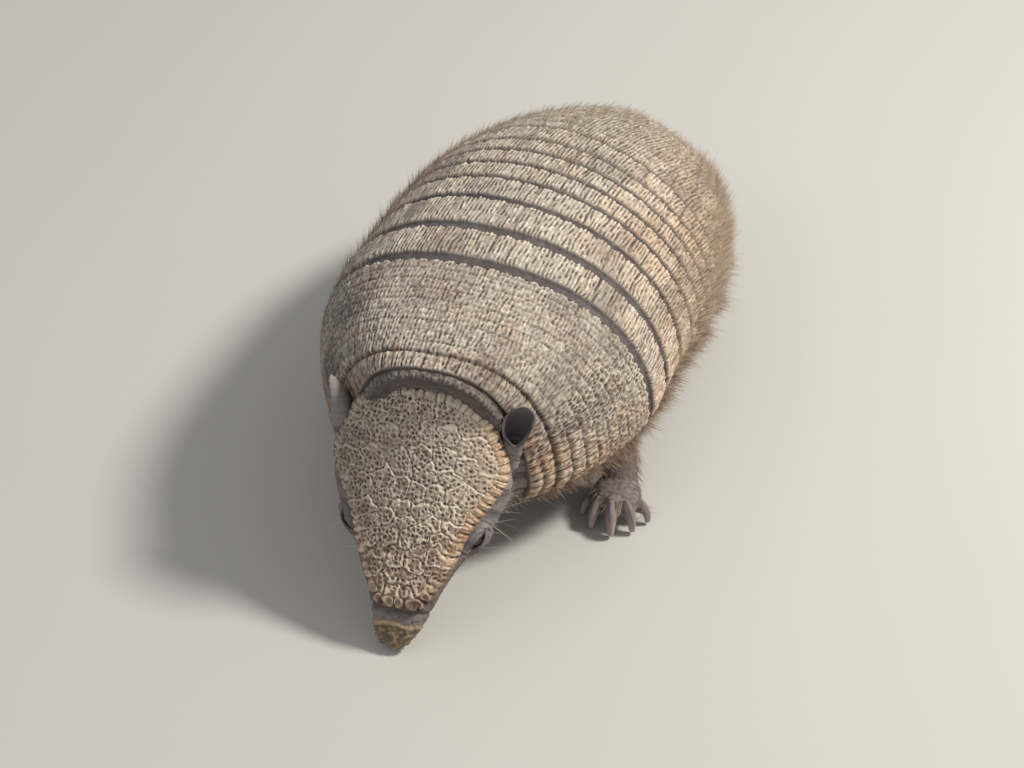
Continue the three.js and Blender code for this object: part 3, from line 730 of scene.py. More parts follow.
# One plate, from its first station to its last, with the fold of skin in front of it over the gap.
def shellPlate(name, node, first, last, gap, rowEdges, widths, cells):
    look = plateLook
    station = np.linspace(first - gap, last, int(round((last - first + gap) / look["stepAlong"])) + 1)
    share = np.linspace(-1, 1, int(round(2 * arcAt((first + last) / 2)[-1] / look["stepAcross"])) + 1)
    girth, halves = arcGrid(station, share)
    station, share, halves = station[:, None], share[None], halves[:, None]
    arc, along = share * halves, station + 0 * girth
    onShoulder = node == "scapular_shield"
    sideways = smoothStep(0.3, 0.62, np.abs(share) + 0.3 * (noise(arc * 0.1, along * 0.1, 15) - 0.5))
    middlePattern, sidePattern = (netted, webbed) if onShoulder else (streaked, streaked)
    middleForm, sideForm = middlePattern(arc, along, cells[0], 3), sidePattern(arc, along, cells[1], 9)
    ridge, pit, boss = blend(middleForm, sideForm, sideways)

    a, b, halfAcross, halfAlong, rows, number = scuteCells(station, share, halves, rowEdges, widths)
    chance = chanceOf(number, rows * 13, 1)
    outer = smoothStep(0.62, 0.84, np.abs(share))
    block = outer * (smoothStep(36, 12, station) if onShoulder else 0.3)
    frontRow = (station < rowEdges[1]) * onShoulder
    parted = smoothStep(0.8, 0.97, chance) + 0.15 + 0.3 * sideways + 0.5 * frontRow + 0.6 * block
    rowParted = 0.25 + 0.5 * chance + block + 0.3 * (node == "pelvic_shield")
    sideSeam = smoothStep(1 - 0.9 / halfAcross, 1, a) * np.clip(parted, 0, 1)
    rowSeam = smoothStep(1 - 0.7 / halfAlong, 1, b) * np.clip(rowParted, 0, 1)
    grooves = (bell(along, rowEdges[1], 0.75) + 0.7 * outer * bell(along, rowEdges[1] / 2, 0.6)) * onShoulder
    seam = np.clip(np.maximum(sideSeam, rowSeam) + grooves, 0, 1)
    dome = smoothStep(1.02, 0.5, (a ** 3 + b ** 3) ** (1 / 3))
    swell = noise(number * 1.7, rows * 2.1, 5) - 0.5

    detail = look["ridgeHeight"] * ridge + look["bossHeight"] * boss - look["pitDepth"] * pit
    height = detail * (1 - 0.3 * block) + 0.3 * swell + dome * (0.2 + 0.28 * block) - look["seamDepth"] * seam
    height = height - look["grooveDepth"] * grooves - look["sink"]
    fromFront, fromRear = station - first, last - station
    scallop = (a ** 2.5 + 0.5 * (1 - ridge)) * (0.4 + 0.6 * min(gap / 3, 1) + 0.6 * onShoulder)
    rise = smoothStep(-0.3, 0.8 + 0.5 * gap, fromFront + 0.5 * (noise(arc * 0.5, along * 0.2, 41) - 0.5))
    floorLevel = -look["foldDepth"] + 0.25 * noise(arc * 0.8, along * 0.4, 43)
    if onShoulder:
        rise, floorLevel = smoothStep(-1.0, 1.0, fromFront), -look["frontDepth"]
    height = blend(floorLevel, height, rise) - look["edgeDepth"] * smoothStep(0.9, 0, fromRear - scallop)

    light = 0.2 + 0.72 * ridge + 0.3 * boss + 0.3 * block * dome + 0.15 * swell - 0.2 * seam
    light = light + 0.22 * smoothStep(3, 0.8, fromRear) * smoothStep(0.2, 0.7, fromRear - scallop)
    light, dark, warm, cool = plateColours(light, pit * (1 - 0.45 * block), seam, station, share)
    bare = 1 - smoothStep(0.35, 1.0, rise)
    mottled = 0.28 + 0.6 * noise(arc * 0.55, along * 0.8, 45) * noise(arc * 0.13, along * 0.3, 46)
    looks = looksOf(blend(light, mottled, bare), dark * (1 - bare), warm * (1 - bare), np.maximum(cool, bare))
    points = shellPoint(station, girth, 0)
    outwards = points - np.array([0, 0, 30]) - points.mean((0, 1)) * np.array([1, 1, 0])
    keepPiece(plateMesh(name, points, outwards, height, looks, look["skirt"]), "shell_plate", node)


foldEdges = [(station - width / 2, station + width / 2) for station, width in folds]
shoulderEnd, (rumpStart, rumpEnd) = foldEdges[0][0], (foldEdges[-1][1], shell["stations"][-1])
shoulderRows = [0] + list(np.linspace(9.3, shoulderEnd, 10))
rumpRows = list(np.linspace(rumpStart - 1, rumpEnd + 0.1, 12))
shoulderForm = (shoulderRows, plateLook["shoulderWidths"], plateLook["shoulderCells"])
shellPlate("scapularShield", "scapular_shield", 0, shoulderEnd, 0, *shoulderForm)
for i in range(7):
    first, last = foldEdges[i][1], foldEdges[i + 1][0]
    bandForm = ([first - 4, last + 0.1, last + 1], plateLook["bandWidths"], plateLook["bandCells"])
    shellPlate(f"band{i + 1}", f"band_{i + 1}", first, last, folds[i][1], *bandForm)
rumpForm = (rumpRows, plateLook["rumpWidths"], plateLook["rumpCells"])
shellPlate("pelvicShield", "pelvic_shield", rumpStart, rumpEnd, folds[-1][1], *rumpForm)


# ---- the row of scutes on the nape, and the head shield

nape = {
    "halfGirth": 0.56,
    # station and inset down the front of the row, from under the shell's edge to behind the head shield
    "profile": [(0.8, 2.1), (-1.3, 2.6), (-2.9, 3.7), (-3.7, 5.5), (-3.7, 8.0), (-3.2, 10.8)],
    "scuteWidth": 4.6,
    "scuteHeight": 4.9,
    "web": (2.1, 3.2),
    "paintedShade": 0.55,
    "grid": (30, 460),
    "skirt": 2.5,
}


def napeRow():
    rows, columns = nape["grid"]
    profile = np.array(nape["profile"])
    distances = travelled(profile)
    down = np.linspace(0, distances[-1], rows)[:, None]
    station, inset = (curveThrough(distances, profile[:, k])(down[:, 0]) for k in (0, 1))
    girth = np.linspace(-1, 1, columns) * nape["halfGirth"]
    points = np.array([shellPoint(a, girth, b) for a, b in zip(station, inset)])
    arc, down = np.broadcast_arrays(travelled(points[rows // 2])[None], down)
    column = arc / nape["scuteWidth"] + 0.35 * noise(arc * 0.12, 0.5, 6)
    a = np.abs(column - np.floor(column) - 0.5) * 2
    low = down - 1.2 + 0.8 * noise(column * 0.8, 3.5, 7)
    b = np.abs(low / nape["scuteHeight"] - 0.5) * 2
    ridge, pit, boss = webbed(arc, down, nape["web"], 19)
    dome = smoothStep(1.05, 0.6, (a ** 3 + b ** 3) ** (1 / 3))
    wrinkle = noise(arc * 0.3, down * 1.3, 44)
    height = 0.6 * dome + (0.3 * ridge + 0.25 * boss - 0.35 * pit) * dome + 0.6 * wrinkle * (1 - dome) - 0.5
    # painted shade: the row faces forward, away from the light, so it is darkened and cooled
    light = nape["paintedShade"] * blend(0.3 + 0.7 * wrinkle, 0.25 + 0.65 * ridge + 0.3 * boss, dome)
    looks = looksOf(light, 0.6 * pit * dome, 0.1, 0.55 + 0.4 * (1 - dome))
    piece = plateMesh("napeRow", points, np.array([0.0, -1.0, 0.6]), height, looks, nape["skirt"])
    keepPiece(piece, "shell_plate", "nuchal_band")


napeRow()

shieldLook = {
    "step": 0.36,
    "scute": 6.6,  # middle to middle
    "filling": 0.8,
    "evenings": 8,  # rounds that move the scutes' middles apart
    "lobes": (3.9, 5.9),  # width of the scutes along the edge, on the sides and at the front
    "lobeDepths": (5.2, 5.4),
    "web": (1.9, 2.15),
    "frontFrom": 60,  # ahead of this the scutes are larger
    "frontStretch": 0.3,
    "sink": 0.7,
}


def shieldOutline():
    along = np.linspace(0, head["shieldLength"], 400)
    wide = shieldHalfWidth(along)
    rear = np.stack([np.zeros(40), np.linspace(-wide[0], wide[0], 40)], 1)
    front = np.stack([np.full(40, head["shieldLength"]), np.linspace(wide[-1], -wide[-1], 40)], 1)
    return np.concatenate([rear, np.stack([along, wide], 1), front, np.stack([along, -wide], 1)[::-1]])


def edgeOf(flat, outline):  # each point's distance from the outline, and the place along it
    chunk = 4000
    fromEdge, nearest = np.empty(len(flat)), np.empty(len(flat), int)
    for start in range(0, len(flat), chunk):
        away = np.linalg.norm(flat[start:start + chunk, None] - outline[None], axis=2)
        fromEdge[start:start + chunk], nearest[start:start + chunk] = away.min(1), away.argmin(1)
    return fromEdge, travelled(outline)[nearest]


# Scutes scattered evenly over the middle of the shield, and larger towards the front. It gives each point's
# distance from the seam, how far behind its scute's middle it is, and one chance for each scute.
def middleScutes(flat, inside, frontwards):
    wide = frontwards[:, None]
    shrunk = flat * (1 - shieldLook["frontStretch"] * wide) + np.array([[20, 0]]) * wide
    area = inside.mean() * head["shieldLength"] * 2 * np.mean(head["shieldHalfWidths"])
    count = int(shieldLook["filling"] * area / shieldLook["scute"] ** 2)
    seeds = shrunk[inside][rng.choice(inside.sum(), count, replace=False)]
    sample = shrunk[inside][::9]
    for _ in range(shieldLook["evenings"]):
        owner = np.linalg.norm(sample[:, None] - seeds[None], axis=2).argmin(1)
        for k in np.unique(owner):
            seeds[k] = sample[owner == k].mean(0)
    bent = shrunk + np.stack([noise(*(flat * 0.35).T, k) for k in (3, 8)], 1) * 2.8 - 1.4
    away = np.linalg.norm(bent[:, None] - seeds[None], axis=2)
    owner = away.argmin(1)
    rearSide = (seeds[owner] - bent)[:, 0] / np.maximum(away.min(1), 0.5)
    away.sort(1)
    return (away[:, 1] - away[:, 0]) / 2, rearSide, chanceOf(owner, 5, 4)


# Along the edge the scutes stand side by side like fingers: how far each point is from its finger's middle.
def edgeScutes(place, outline):
    sideWidth, frontWidth = shieldLook["lobes"]
    marks = travelled(outline)
    atFront = smoothStep(head["shieldLength"] - 14, head["shieldLength"] - 7, outline[:, 0])
    numbers = np.cumsum(np.diff(marks, prepend=0) / (sideWidth + (frontWidth - sideWidth) * atFront))
    lobe = np.interp(place, marks, numbers) + 1.1 * noise(place * 0.17, 7.5, 33)
    return np.abs(lobe - np.floor(lobe) - 0.5) * 2


def headShieldPiece():
    look, length = shieldLook, head["shieldLength"]
    along = np.linspace(0, length, int(length / look["step"]))[:, None]
    column = np.linspace(-1, 1, int(2 * max(head["shieldHalfWidths"]) / look["step"]))[None]
    across = column * shieldHalfWidth(along)
    along = np.broadcast_to(along, across.shape)
    points = headPoint(along, across, sagAt(across))
    flat = np.stack([along.ravel(), across.ravel()], 1)
    outline = shieldOutline()
    fromEdge, place = (v.reshape(across.shape) for v in edgeOf(flat, outline))
    frontwards = smoothStep(look["frontFrom"] - 12, look["frontFrom"] + 14, along)
    atFront = smoothStep(length - 12, length - 5, along)
    sideDepth, frontDepth = look["lobeDepths"]
    lobeDepth = sideDepth + (frontDepth - sideDepth) * atFront
    lobeDepth = lobeDepth * (1 + 0.35 * (noise(place * 0.12, 0.5, 31) - 0.5))
    scutes = middleScutes(flat, (fromEdge > lobeDepth).ravel(), frontwards.ravel())
    fromSeam, rearSide, kind = (v.reshape(across.shape) for v in scutes)
    a = edgeScutes(place, outline)

    ridge, pit, boss = webbed(across, along, look["web"], 50, 0.18, 0.3, 0.38)
    curl = smoothStep(-0.5, 0.5, rearSide * (1 - 2 * frontwards) + 0.7 * (kind - 0.5))
    rim = bell(fromSeam, 0.7, 0.5) * (0.3 + 0.7 * curl) * (0.55 + 0.45 * kind)
    valley = bell(fromSeam, 0, 0.32)
    dome = smoothStep(0, 3.0, fromSeam)
    edgeRidge, edgePit, edgeBoss = streaked(place, fromEdge, (1.7, 5.0), 71)
    # the fingers are plain at the rear, and fade into the net along the right side and the left's front
    faded = 0.75 * smoothStep(0, -12, across) * smoothStep(8, 22, along)
    faded = faded + 0.6 * smoothStep(0, 10, across) * smoothStep(56, 68, along)
    border = smoothStep(0.4, -0.4, fromEdge - lobeDepth) * (1 - faded * (1 - atFront))
    net = 1 - border
    seam = smoothStep(0.74, 1.0, a) * border * (0.5 + 0.5 * noise(place * 0.6, fromEdge * 0.3, 35))
    shore = bell(fromEdge, lobeDepth, 0.5)
    rounded = smoothStep(-0.3, 2.0, fromEdge - (1.3 + 1.3 * atFront) * a ** 2.4)

    ridge = ridge * net + edgeRidge * border * (1 - 0.8 * atFront)
    pit = pit * (1 - 0.25 * frontwards) * (1 - rim) * net + edgePit * 0.15 * border * (1 - 0.6 * atFront)
    boss = blend(boss, edgeBoss, border)
    arc = np.hypot(a, (fromEdge - 0.55 * lobeDepth) / (0.55 * lobeDepth))
    frontRim = atFront * border * bell(arc, 0.78, 0.17)
    hollow = atFront * border * smoothStep(0.6, 0.3, arc)
    height = (0.8 * rim + 0.35 * dome * (1 + frontwards) - 0.3 * valley) * net + 0.3 * boss - 0.55 * pit
    height = height + 0.36 * ridge * (1 - 0.3 * frontwards)
    height = height + border * (0.5 * smoothStep(1, 0.4, a) - 0.45 * seam)
    height = height + 0.4 * frontRim - 0.35 * hollow - 0.4 * shore - 2.0 * (1 - rounded) - look["sink"]

    patch = noise(along * 0.12, across * 0.12, 71)
    leftLit = smoothStep(0, 26, across) * smoothStep(72, 40, along)
    onLeft = smoothStep(0, 10, across) * smoothStep(6, 24, along)
    leftRear = smoothStep(8, 30, across) * smoothStep(90, 60, along)
    light = 0.25 + 0.68 * ridge + (0.75 + 0.25 * frontwards) * rim * net + 0.25 * boss
    light = light + (0.16 - 0.3 * onLeft) * border * (1 - seam) + 0.34 * leftLit + 0.12 * (patch - 0.5)
    light = light - 0.25 * seam + 0.5 * frontRim - 0.14 * frontwards
    warm = border * onLeft * (0.5 + 0.6 * patch) * (1 - atFront) + frontwards * (0.12 + 0.25 * patch)
    warm = warm + 0.25 * leftRear * (0.5 + patch) + 0.3
    # painted shade: cooler and darker on the right side; also darker where the edge rounds down
    cool = 0.05 + smoothStep(0, -34, across) * 0.35 + smoothStep(0.5, 0.85, patch) * 0.15
    cool = cool + (1 - rounded) * 0.4
    dark = pit * 0.95 + (0.14 * (1 - ridge) + 0.4 * valley) * net * (1 - rim)
    dark = dark + 0.35 * seam + 0.45 * hollow + 0.5 * shore * atFront
    looks = looksOf(light, dark, warm, cool)
    piece = plateMesh("headShield", points, headUp, height, looks, head["shieldThickness"])
    keepPiece(piece, "shell_plate", "head_shield")


headShieldPiece()


# ---- the one skin: neck, head, ears, trunk, legs and feet

trunk = {
    "stations": [4.5, 30, 90, 190, 235, 262],
    "bellyHeights": [27, 16, 12, 12, 18, 33],
    "hairInsets": [9, 4, 2, 2, 4, 6],
    "bellyPower": 2.1,
    "coatDepth": 4.5,
    "sideCoat": 0.6,  # share of the coat's depth on the sides
    "underShell": 0.9,
    "foldRise": 1.3,
    "foldWidth": 2.2,
    "rings": (150, 90, 40),  # rings, and the points of each on its back and belly
    "voxel": 1.5,
}
neck = {
    "stations": [16.0, 4.15, 1, -2, -6],
    "insets": [8.0, 5, 5, 5.5, 10],
    "napeInsets": [4.0, 6.4, 7, 13, 20],
    "napeGirth": 0.62,
    "throatHeight": 34,
    "throatCoat": 2,
    "coatDepth": 0.8,
    "rings": (20, 72, 34),
}
ear = {
    "along": 31,
    "across": 36,
    "below": 19.4,
    "height": 33.0,
    "shares": [0, 0.2, 0.4, 0.6, 0.8, 0.93, 1],
    "halfWidths": {1: [4.4, 4.3, 4.4, 6.1, 6.8, 5.0, 2.6], -1: [5.0, 5.4, 6.2, 6.6, 5.2, 3.0, 1.0]},
    "halfDepths": {1: [4.2, 4.0, 3.8, 4.2, 3.7, 2.6, 1.5], -1: [5.0, 5.4, 5.6, 5.0, 3.4, 2.0, 0.8]},
    "lean": {1: (0.188, 0.016, 1), -1: (0.26, 0.016, 1)},
    "inward": {1: 0, -1: 2.6},
    "turns": {1: 22, -1: 80},
    "wall": 1.5,
    "openFrom": (0.42, 0.64),
    # half angles that the leaf wraps, in degrees, where it is closed and where it is widest open
    "closed": 176,
    "mouth": 105,
    "lip": 1.2,
}
headSkin = {
    "voxel": 0.68,
    "coatDepth": 0.25,
    "socket": 3.0,
    "tipShares": (0.25, 0.5, 0.7, 0.85, 0.95, 1.0),
    "tipRound": 0.8,
    "padBehind": 5.5,  # of the nose pad's edge, behind the nose's station
}
# the lids, and the folds round them: two angles from the eye's middle, radius, thickness,
# and stretch along the head
lids = [(37, 110, 4.7, 1.15, 1.2), (3, -100, 4.8, 1.3, 1.2)]
eyeFolds = [(60, 96, 5.4, 2.4, 1.6), (-38, -84, 6.1, 3.6, 1.5)]

# limbs, for the left side: outwards from the spine, y, z, and the two radii
limbs = {
    "foreleg": [
        (42, -50, 50, 15, 17),
        (56, -46, 32, 12, 13),
        (65, -55, 20, 9.8, 9.4),
        (66, -60, 14, 8.6, 7.6),
    ],
    "forefoot": [
        (66, -53, 7.5, 6.5, 7),
        (66.5, -59, 9, 9.6, 9.4),
        (67, -66, 11.5, 11, 8),
        (67, -72, 13, 9.6, 5.5),
    ],
    "hindleg": [(26, 96, 50, 19, 22), (45, 78, 33, 14, 15), (44, 97, 20, 10.5, 11), (42, 106, 13, 8.5, 9)],
    "hindfoot": [
        (41, 112, 6.5, 6.5, 7),
        (43, 100, 7.5, 8.8, 8),
        (46, 82, 7, 10.5, 7.4),
        (48, 66, 7, 11, 6),
        (49, 61, 7, 9.5, 4),
    ],
}
tailLine = [
    (1, 141, 46, 13.5, 12.5),
    (-5, 160, 36, 11.5, 11),
    (-18, 178, 20, 9, 8.6),
    (-39, 196, 8.6, 6.8, 6.6),
    (-66, 208, 4.6, 4.8, 4.8),
    (-87, 214, 2.2, 2.4, 2.4),
]
# claws: root, tip and radius
claws = {
    "fore": [
        ((57.6, -67, 10.5), (53, -71.5, 0), 1.9),
        ((61, -72, 13), (59, -79, 0), 2.4),
        ((66.5, -74, 14), (68.6, -81, 0), 2.7),
        ((72, -71, 13.5), (77, -75, 0), 2.5),
        ((76.5, -65.5, 11.5), (82, -66.5, 0), 2.0),
    ],
    "hind": [
        ((40, 63, 6.4), (37.5, 55.5, 0), 1.7),
        ((44.5, 60, 7.4), (43.4, 49.5, 0), 2.0),
        ((49.2, 59, 7.6), (49.6, 47.8, 0), 2.2),
        ((53.8, 60.5, 7.2), (55.6, 50.5, 0), 2.0),
        ((57.8, 64.5, 6.2), (61, 56.5, 0), 1.7),
    ],
}
# how far each limb stands outwards and back from its place above
stance = {(1, "fore"): (0, 0), (1, "hind"): (0, 0), (-1, "fore"): (-13, 5), (-1, "hind"): (-2, -9)}
clawLook = {
    "arch": 0.16,
    "tipShare": 0.42,
    "taperFrom": 0.55,
    "bluntFrom": 0.94,
    "girth": 1.3,
    "rings": 30,
    "sides": 22,
    "grooves": 9,
}
toes = {"cover": 0.4, "flesh": 1.9, "knuckle": 0.17, "heel": 0.62, "voxel": 0.85, "scale": 2.4}
limbPower = 2.2
bellyHeight = curveThrough(trunk["stations"], trunk["bellyHeights"])
hairInset = curveThrough(trunk["stations"], trunk["hairInsets"])


def crossAxes(tangent):  # the level and the upright direction across a line
    across = unit(np.cross(tangent, skyward))
    return across, np.cross(across, tangent)


def crossRing(centre, across, upright, x, y):
    return centre + x[:, None] * across + y[:, None] * upright


def onFloor(points):
    points[..., 2] = np.maximum(points[..., 2], 0)
    return points


def limbForm(joints, side=1, shift=(0, 0), shrink=0.0):
    # gives the middle, the directions and the two radii at a share of a limb's length
    places = np.array([standing(joint, side, shift) for joint in joints])
    shares = np.linspace(0, 1, len(joints))
    lines = [curveThrough(shares, places[:, k]) for k in range(3)]
    wide, deep = (curveThrough(shares, [joint[k] - shrink for joint in joints]) for k in (3, 4))

    def at(share, step=0.01):
        centre = np.array([line(share) for line in lines])
        tangent = unit(np.array([line(min(share + step, 1)) - line(max(share - step, 0)) for line in lines]))
        return centre, tangent, *crossAxes(tangent), float(wide(share)), float(deep(share))

    return at


def limbLoft(joints, side, shift, shrink):
    form = limbForm(joints, side, shift, shrink)
    x, y = (powered(wave(turns(28)), limbPower) for wave in (np.cos, np.sin))
    rings = []
    for share in np.linspace(0, 1, 24):
        centre, _, across, upright, wide, deep = form(share)
        rings.append(onFloor(crossRing(centre, across, upright, wide * x, deep * y)))
    return loft(rings)


def bodyRing(station, girth, angle, inset, wide, lowest, coat):  # the back under the shell, and the belly
    rim = ringForm(station)[0] - shell["rimDrop"]
    x = wide * powered(np.cos(angle), trunk["bellyPower"])
    drop = (rim - lowest - coat) * powered(np.sin(angle), trunk["bellyPower"])
    return np.concatenate([shellPoint(station, girth, inset), ringPoint(station, x, rim - drop)])


def trunkLoft():
    count, backCount, bellyCount = trunk["rings"]
    girth, angle = np.linspace(-1, 1, backCount), np.linspace(0, math.pi, bellyCount)[1:-1]
    foldAt = np.array([station for station, _ in folds])
    depth = trunk["coatDepth"]
    rings = []
    for station in np.linspace(trunk["stations"][0], trunk["stations"][-1], count):
        lifted = trunk["foldRise"] * np.exp(-((foldAt - station) / trunk["foldWidth"]) ** 2).max()
        inset = shell["shieldThickness"] + trunk["underShell"] - lifted
        wide = halfWidth(station) - hairInset(station) - depth * trunk["sideCoat"]
        rings.append(bodyRing(station, girth, angle, inset, wide, bellyHeight(station), depth))
    return loft(rings)


def neckLoft():
    count, backCount, bellyCount = neck["rings"]
    girth, angle = np.linspace(-1, 1, backCount), np.linspace(0, math.pi, bellyCount)[1:-1]
    backwards = [-station for station in neck["stations"]]
    insetAt, napeInsetAt = (curveThrough(backwards, neck[depths]) for depths in ("insets", "napeInsets"))
    onNape = smoothStep(neck["napeGirth"] + 0.08, neck["napeGirth"] - 0.08, np.abs(girth))
    rings = []
    for station in np.linspace(neck["stations"][0], neck["stations"][-1], count):
        inset = insetAt(-station) + onNape * napeInsetAt(-station) + neck["coatDepth"]
        wide = halfWidth(station) - insetAt(-station) - shell["rimTuck"]
        rings.append(bodyRing(station, girth, angle, inset, wide, neck["throatHeight"], neck["throatCoat"]))
    return loft(rings)


def headRing(along):
    grow = -headSkin["coatDepth"]
    acrossPower, upperPower, lowerPower = head["sectionPowers"]
    width, depth = fleshHalfWidth(along) + grow, fleshDepth(along) + grow
    cheek = -head["cheekShare"] * depth
    angle = turns(64)
    tip = smoothStep(*head["noseFrom"], along)
    narrow = 1 - head["noseNarrow"] * tip
    across = width * powered(np.cos(angle), acrossPower) * narrow + head["noseTurn"] * tip
    roof = sagAt(across) - head["shieldThickness"] + 0.6 + grow
    upper, lower = (powered(np.sin(angle), power) for power in (upperPower, lowerPower))
    rise = np.where(np.sin(angle) > 0, (roof - cheek) * upper, (depth + cheek) * lower)
    return onFloor(headPoint(along, across, cheek + rise))


def headLoft():
    start, end, nose = head["fleshStations"][0], head["fleshStations"][-1], head["noseStation"]
    rings = [headRing(along) for along in np.linspace(start, nose, 60)]
    for share in headSkin["tipShares"]:
        ring = headRing(nose + (end - nose) * share)
        middle = ring.mean(0)
        rings.append(onFloor(middle + (ring - middle) * math.sqrt(1 - (headSkin["tipRound"] * share) ** 2)))
    return loft(rings)


def earAxes(side):
    leanX, leanY, leanZ = ear["lean"][side]
    base = headPoint(ear["along"], side * (ear["across"] - ear["inward"][side]), -ear["below"])
    rise = unit(np.array([side * leanX, leanY, leanZ]))
    turn = math.radians(ear["turns"][side]) * side
    across = np.array([math.cos(turn), math.sin(turn), 0])
    return base, rise, across, unit(np.cross(across, rise))


def earLoft(side):
    base, rise, across, forward = earAxes(side)
    wideAt, deepAt = (curveThrough(ear["shares"], ear[sizes][side]) for sizes in ("halfWidths", "halfDepths"))
    rings = []
    for share in np.linspace(0, 1, 40):
        opened = smoothStep(*ear["openFrom"], share)
        wrap = math.radians(ear["closed"] + (ear["mouth"] - ear["closed"]) * opened)
        angle = np.linspace(-wrap, wrap, 40)
        wide, deep = float(wideAt(share)), float(deepAt(share))
        lift = ear["lip"] * opened * (np.abs(angle) / wrap) ** 3 * (1 - share)
        outer = base + rise * (share * ear["height"] - lift[:, None])
        outer = outer + across * (wide * np.sin(angle))[:, None] - forward * (deep * np.cos(angle))[:, None]
        wall = ear["wall"] * (1 - 0.35 * share)
        inner = outer - across * (wall * np.sin(angle))[:, None] + forward * (wall * np.cos(angle))[:, None]
        rings.append(np.concatenate([outer, inner[::-1]]))
    return loft(rings)


def eyeAxes(side):
    centre = headPoint(eye["along"], side * eye["across"], -eye["below"])
    out = unit(side * headLeft + 0.6 * headUp + 0.6 * headForward)
    level = unit(headForward - out * (headForward @ out))
    over = unit(np.cross(out, level)) * np.sign(np.cross(out, level) @ headUp)
    slant = math.radians(eye["slant"])
    cosine, sine = math.cos(slant), math.sin(slant)
    return centre, out, level * cosine + over * sine, over * cosine - level * sine


# part of a thick ball round the eye, with round edges
def lidLoft(side, low, high, radius, thickness, stretch):
    centre, out, ahead, up = eyeAxes(side)
    share = np.linspace(0.003, 0.997, 28)
    half = thickness / 2 * np.sqrt(1 - (2 * share - 1) ** 6)
    rings = []
    for turn in np.radians(np.linspace(-84, 84, 44)):
        edge = low * math.cos(turn) ** 0.7
        tilt = np.radians(edge + (high - edge) * share)
        arc = out * (np.cos(tilt) * math.cos(turn))[:, None] + ahead * math.sin(turn) * stretch
        arc = arc + up * (np.sin(tilt) * math.cos(turn))[:, None]
        outer, inner = (centre + arc * (radius - thickness / 2 + way * half)[:, None] for way in (1, -1))
        rings.append(np.concatenate([outer, inner[::-1]]))
    return loft(rings)


def clawArch(start, end):  # how far the middle of a claw stands from the line between its ends
    axis = unit(end - start)
    return unit(skyward - axis * axis[2]) * clawLook["arch"] * np.linalg.norm(end - start)


def toeLofts(end, side):
    shift = stance[side, end]
    heel, *_ = limbForm(limbs[end + "foot"], side, shift, 1.0)(toes["heel"])
    x, y = np.cos(turns(16)), np.sin(turns(16))
    made = []
    for root, tip, radius in claws[end]:
        root, tip = standing(root, side, shift), standing(tip, side, shift)
        start = root + (heel - root) * 0.45 + 1.6 * skyward
        line = root + (tip - root) * toes["cover"] + 0.9 * clawArch(root, tip) - start
        across, upright = crossAxes(unit(line))
        rings = []
        for share in np.linspace(0, 1, 10):
            knuckle = 1 - 0.22 * share + toes["knuckle"] * math.sin(share * 7)
            size = (radius + toes["flesh"]) * knuckle * math.sqrt(max(0.06, 1 - (2 * share - 1) ** 8))
            rings.append(onFloor(crossRing(start + line * share, across, upright, size * x, size * y)))
        made.append(loft(rings))
    return made


def pointNormals(points, faces):
    normals = np.zeros(points.shape)
    for group in faces:
        a, b, c = points[group[:, 0]], points[group[:, 1]], points[group[:, -1]]
        faceNormal = np.cross(b - a, c - a)
        for k in range(group.shape[1]):
            for axis in range(3):
                normals[:, axis] += np.bincount(group[:, k], faceNormal[:, axis], len(points))
    return unit(normals)


def remeshed(forms, voxel, smoothing):  # the forms as one smooth surface of even cells: its points and faces
    piece = makeMesh("forms", *joined(forms), "skin")
    modifier = piece.modifiers.new("voxels", "REMESH")
    modifier.mode = "VOXEL"
    modifier.voxel_size = voxel * mm
    smooth = piece.modifiers.new("smooth", "SMOOTH")
    smooth.factor = 0.5
    smooth.iterations = smoothing
    made = piece.evaluated_get(bpy.context.evaluated_depsgraph_get()).to_mesh()
    points = np.empty(len(made.vertices) * 3)
    made.vertices.foreach_get("co", points)
    loops, sizes = np.empty(len(made.loops), int), np.empty(len(made.polygons), int)
    made.loops.foreach_get("vertex_index", loops)
    made.polygons.foreach_get("loop_total", sizes)
    starts = np.cumsum(sizes) - sizes
    faces = [loops[starts[sizes == k][:, None] + np.arange(k)] for k in (3, 4) if (sizes == k).any()]
    old = piece.data
    bpy.data.objects.remove(piece)
    bpy.data.meshes.remove(old)
    return points.reshape(-1, 3) / mm - toFrame, faces


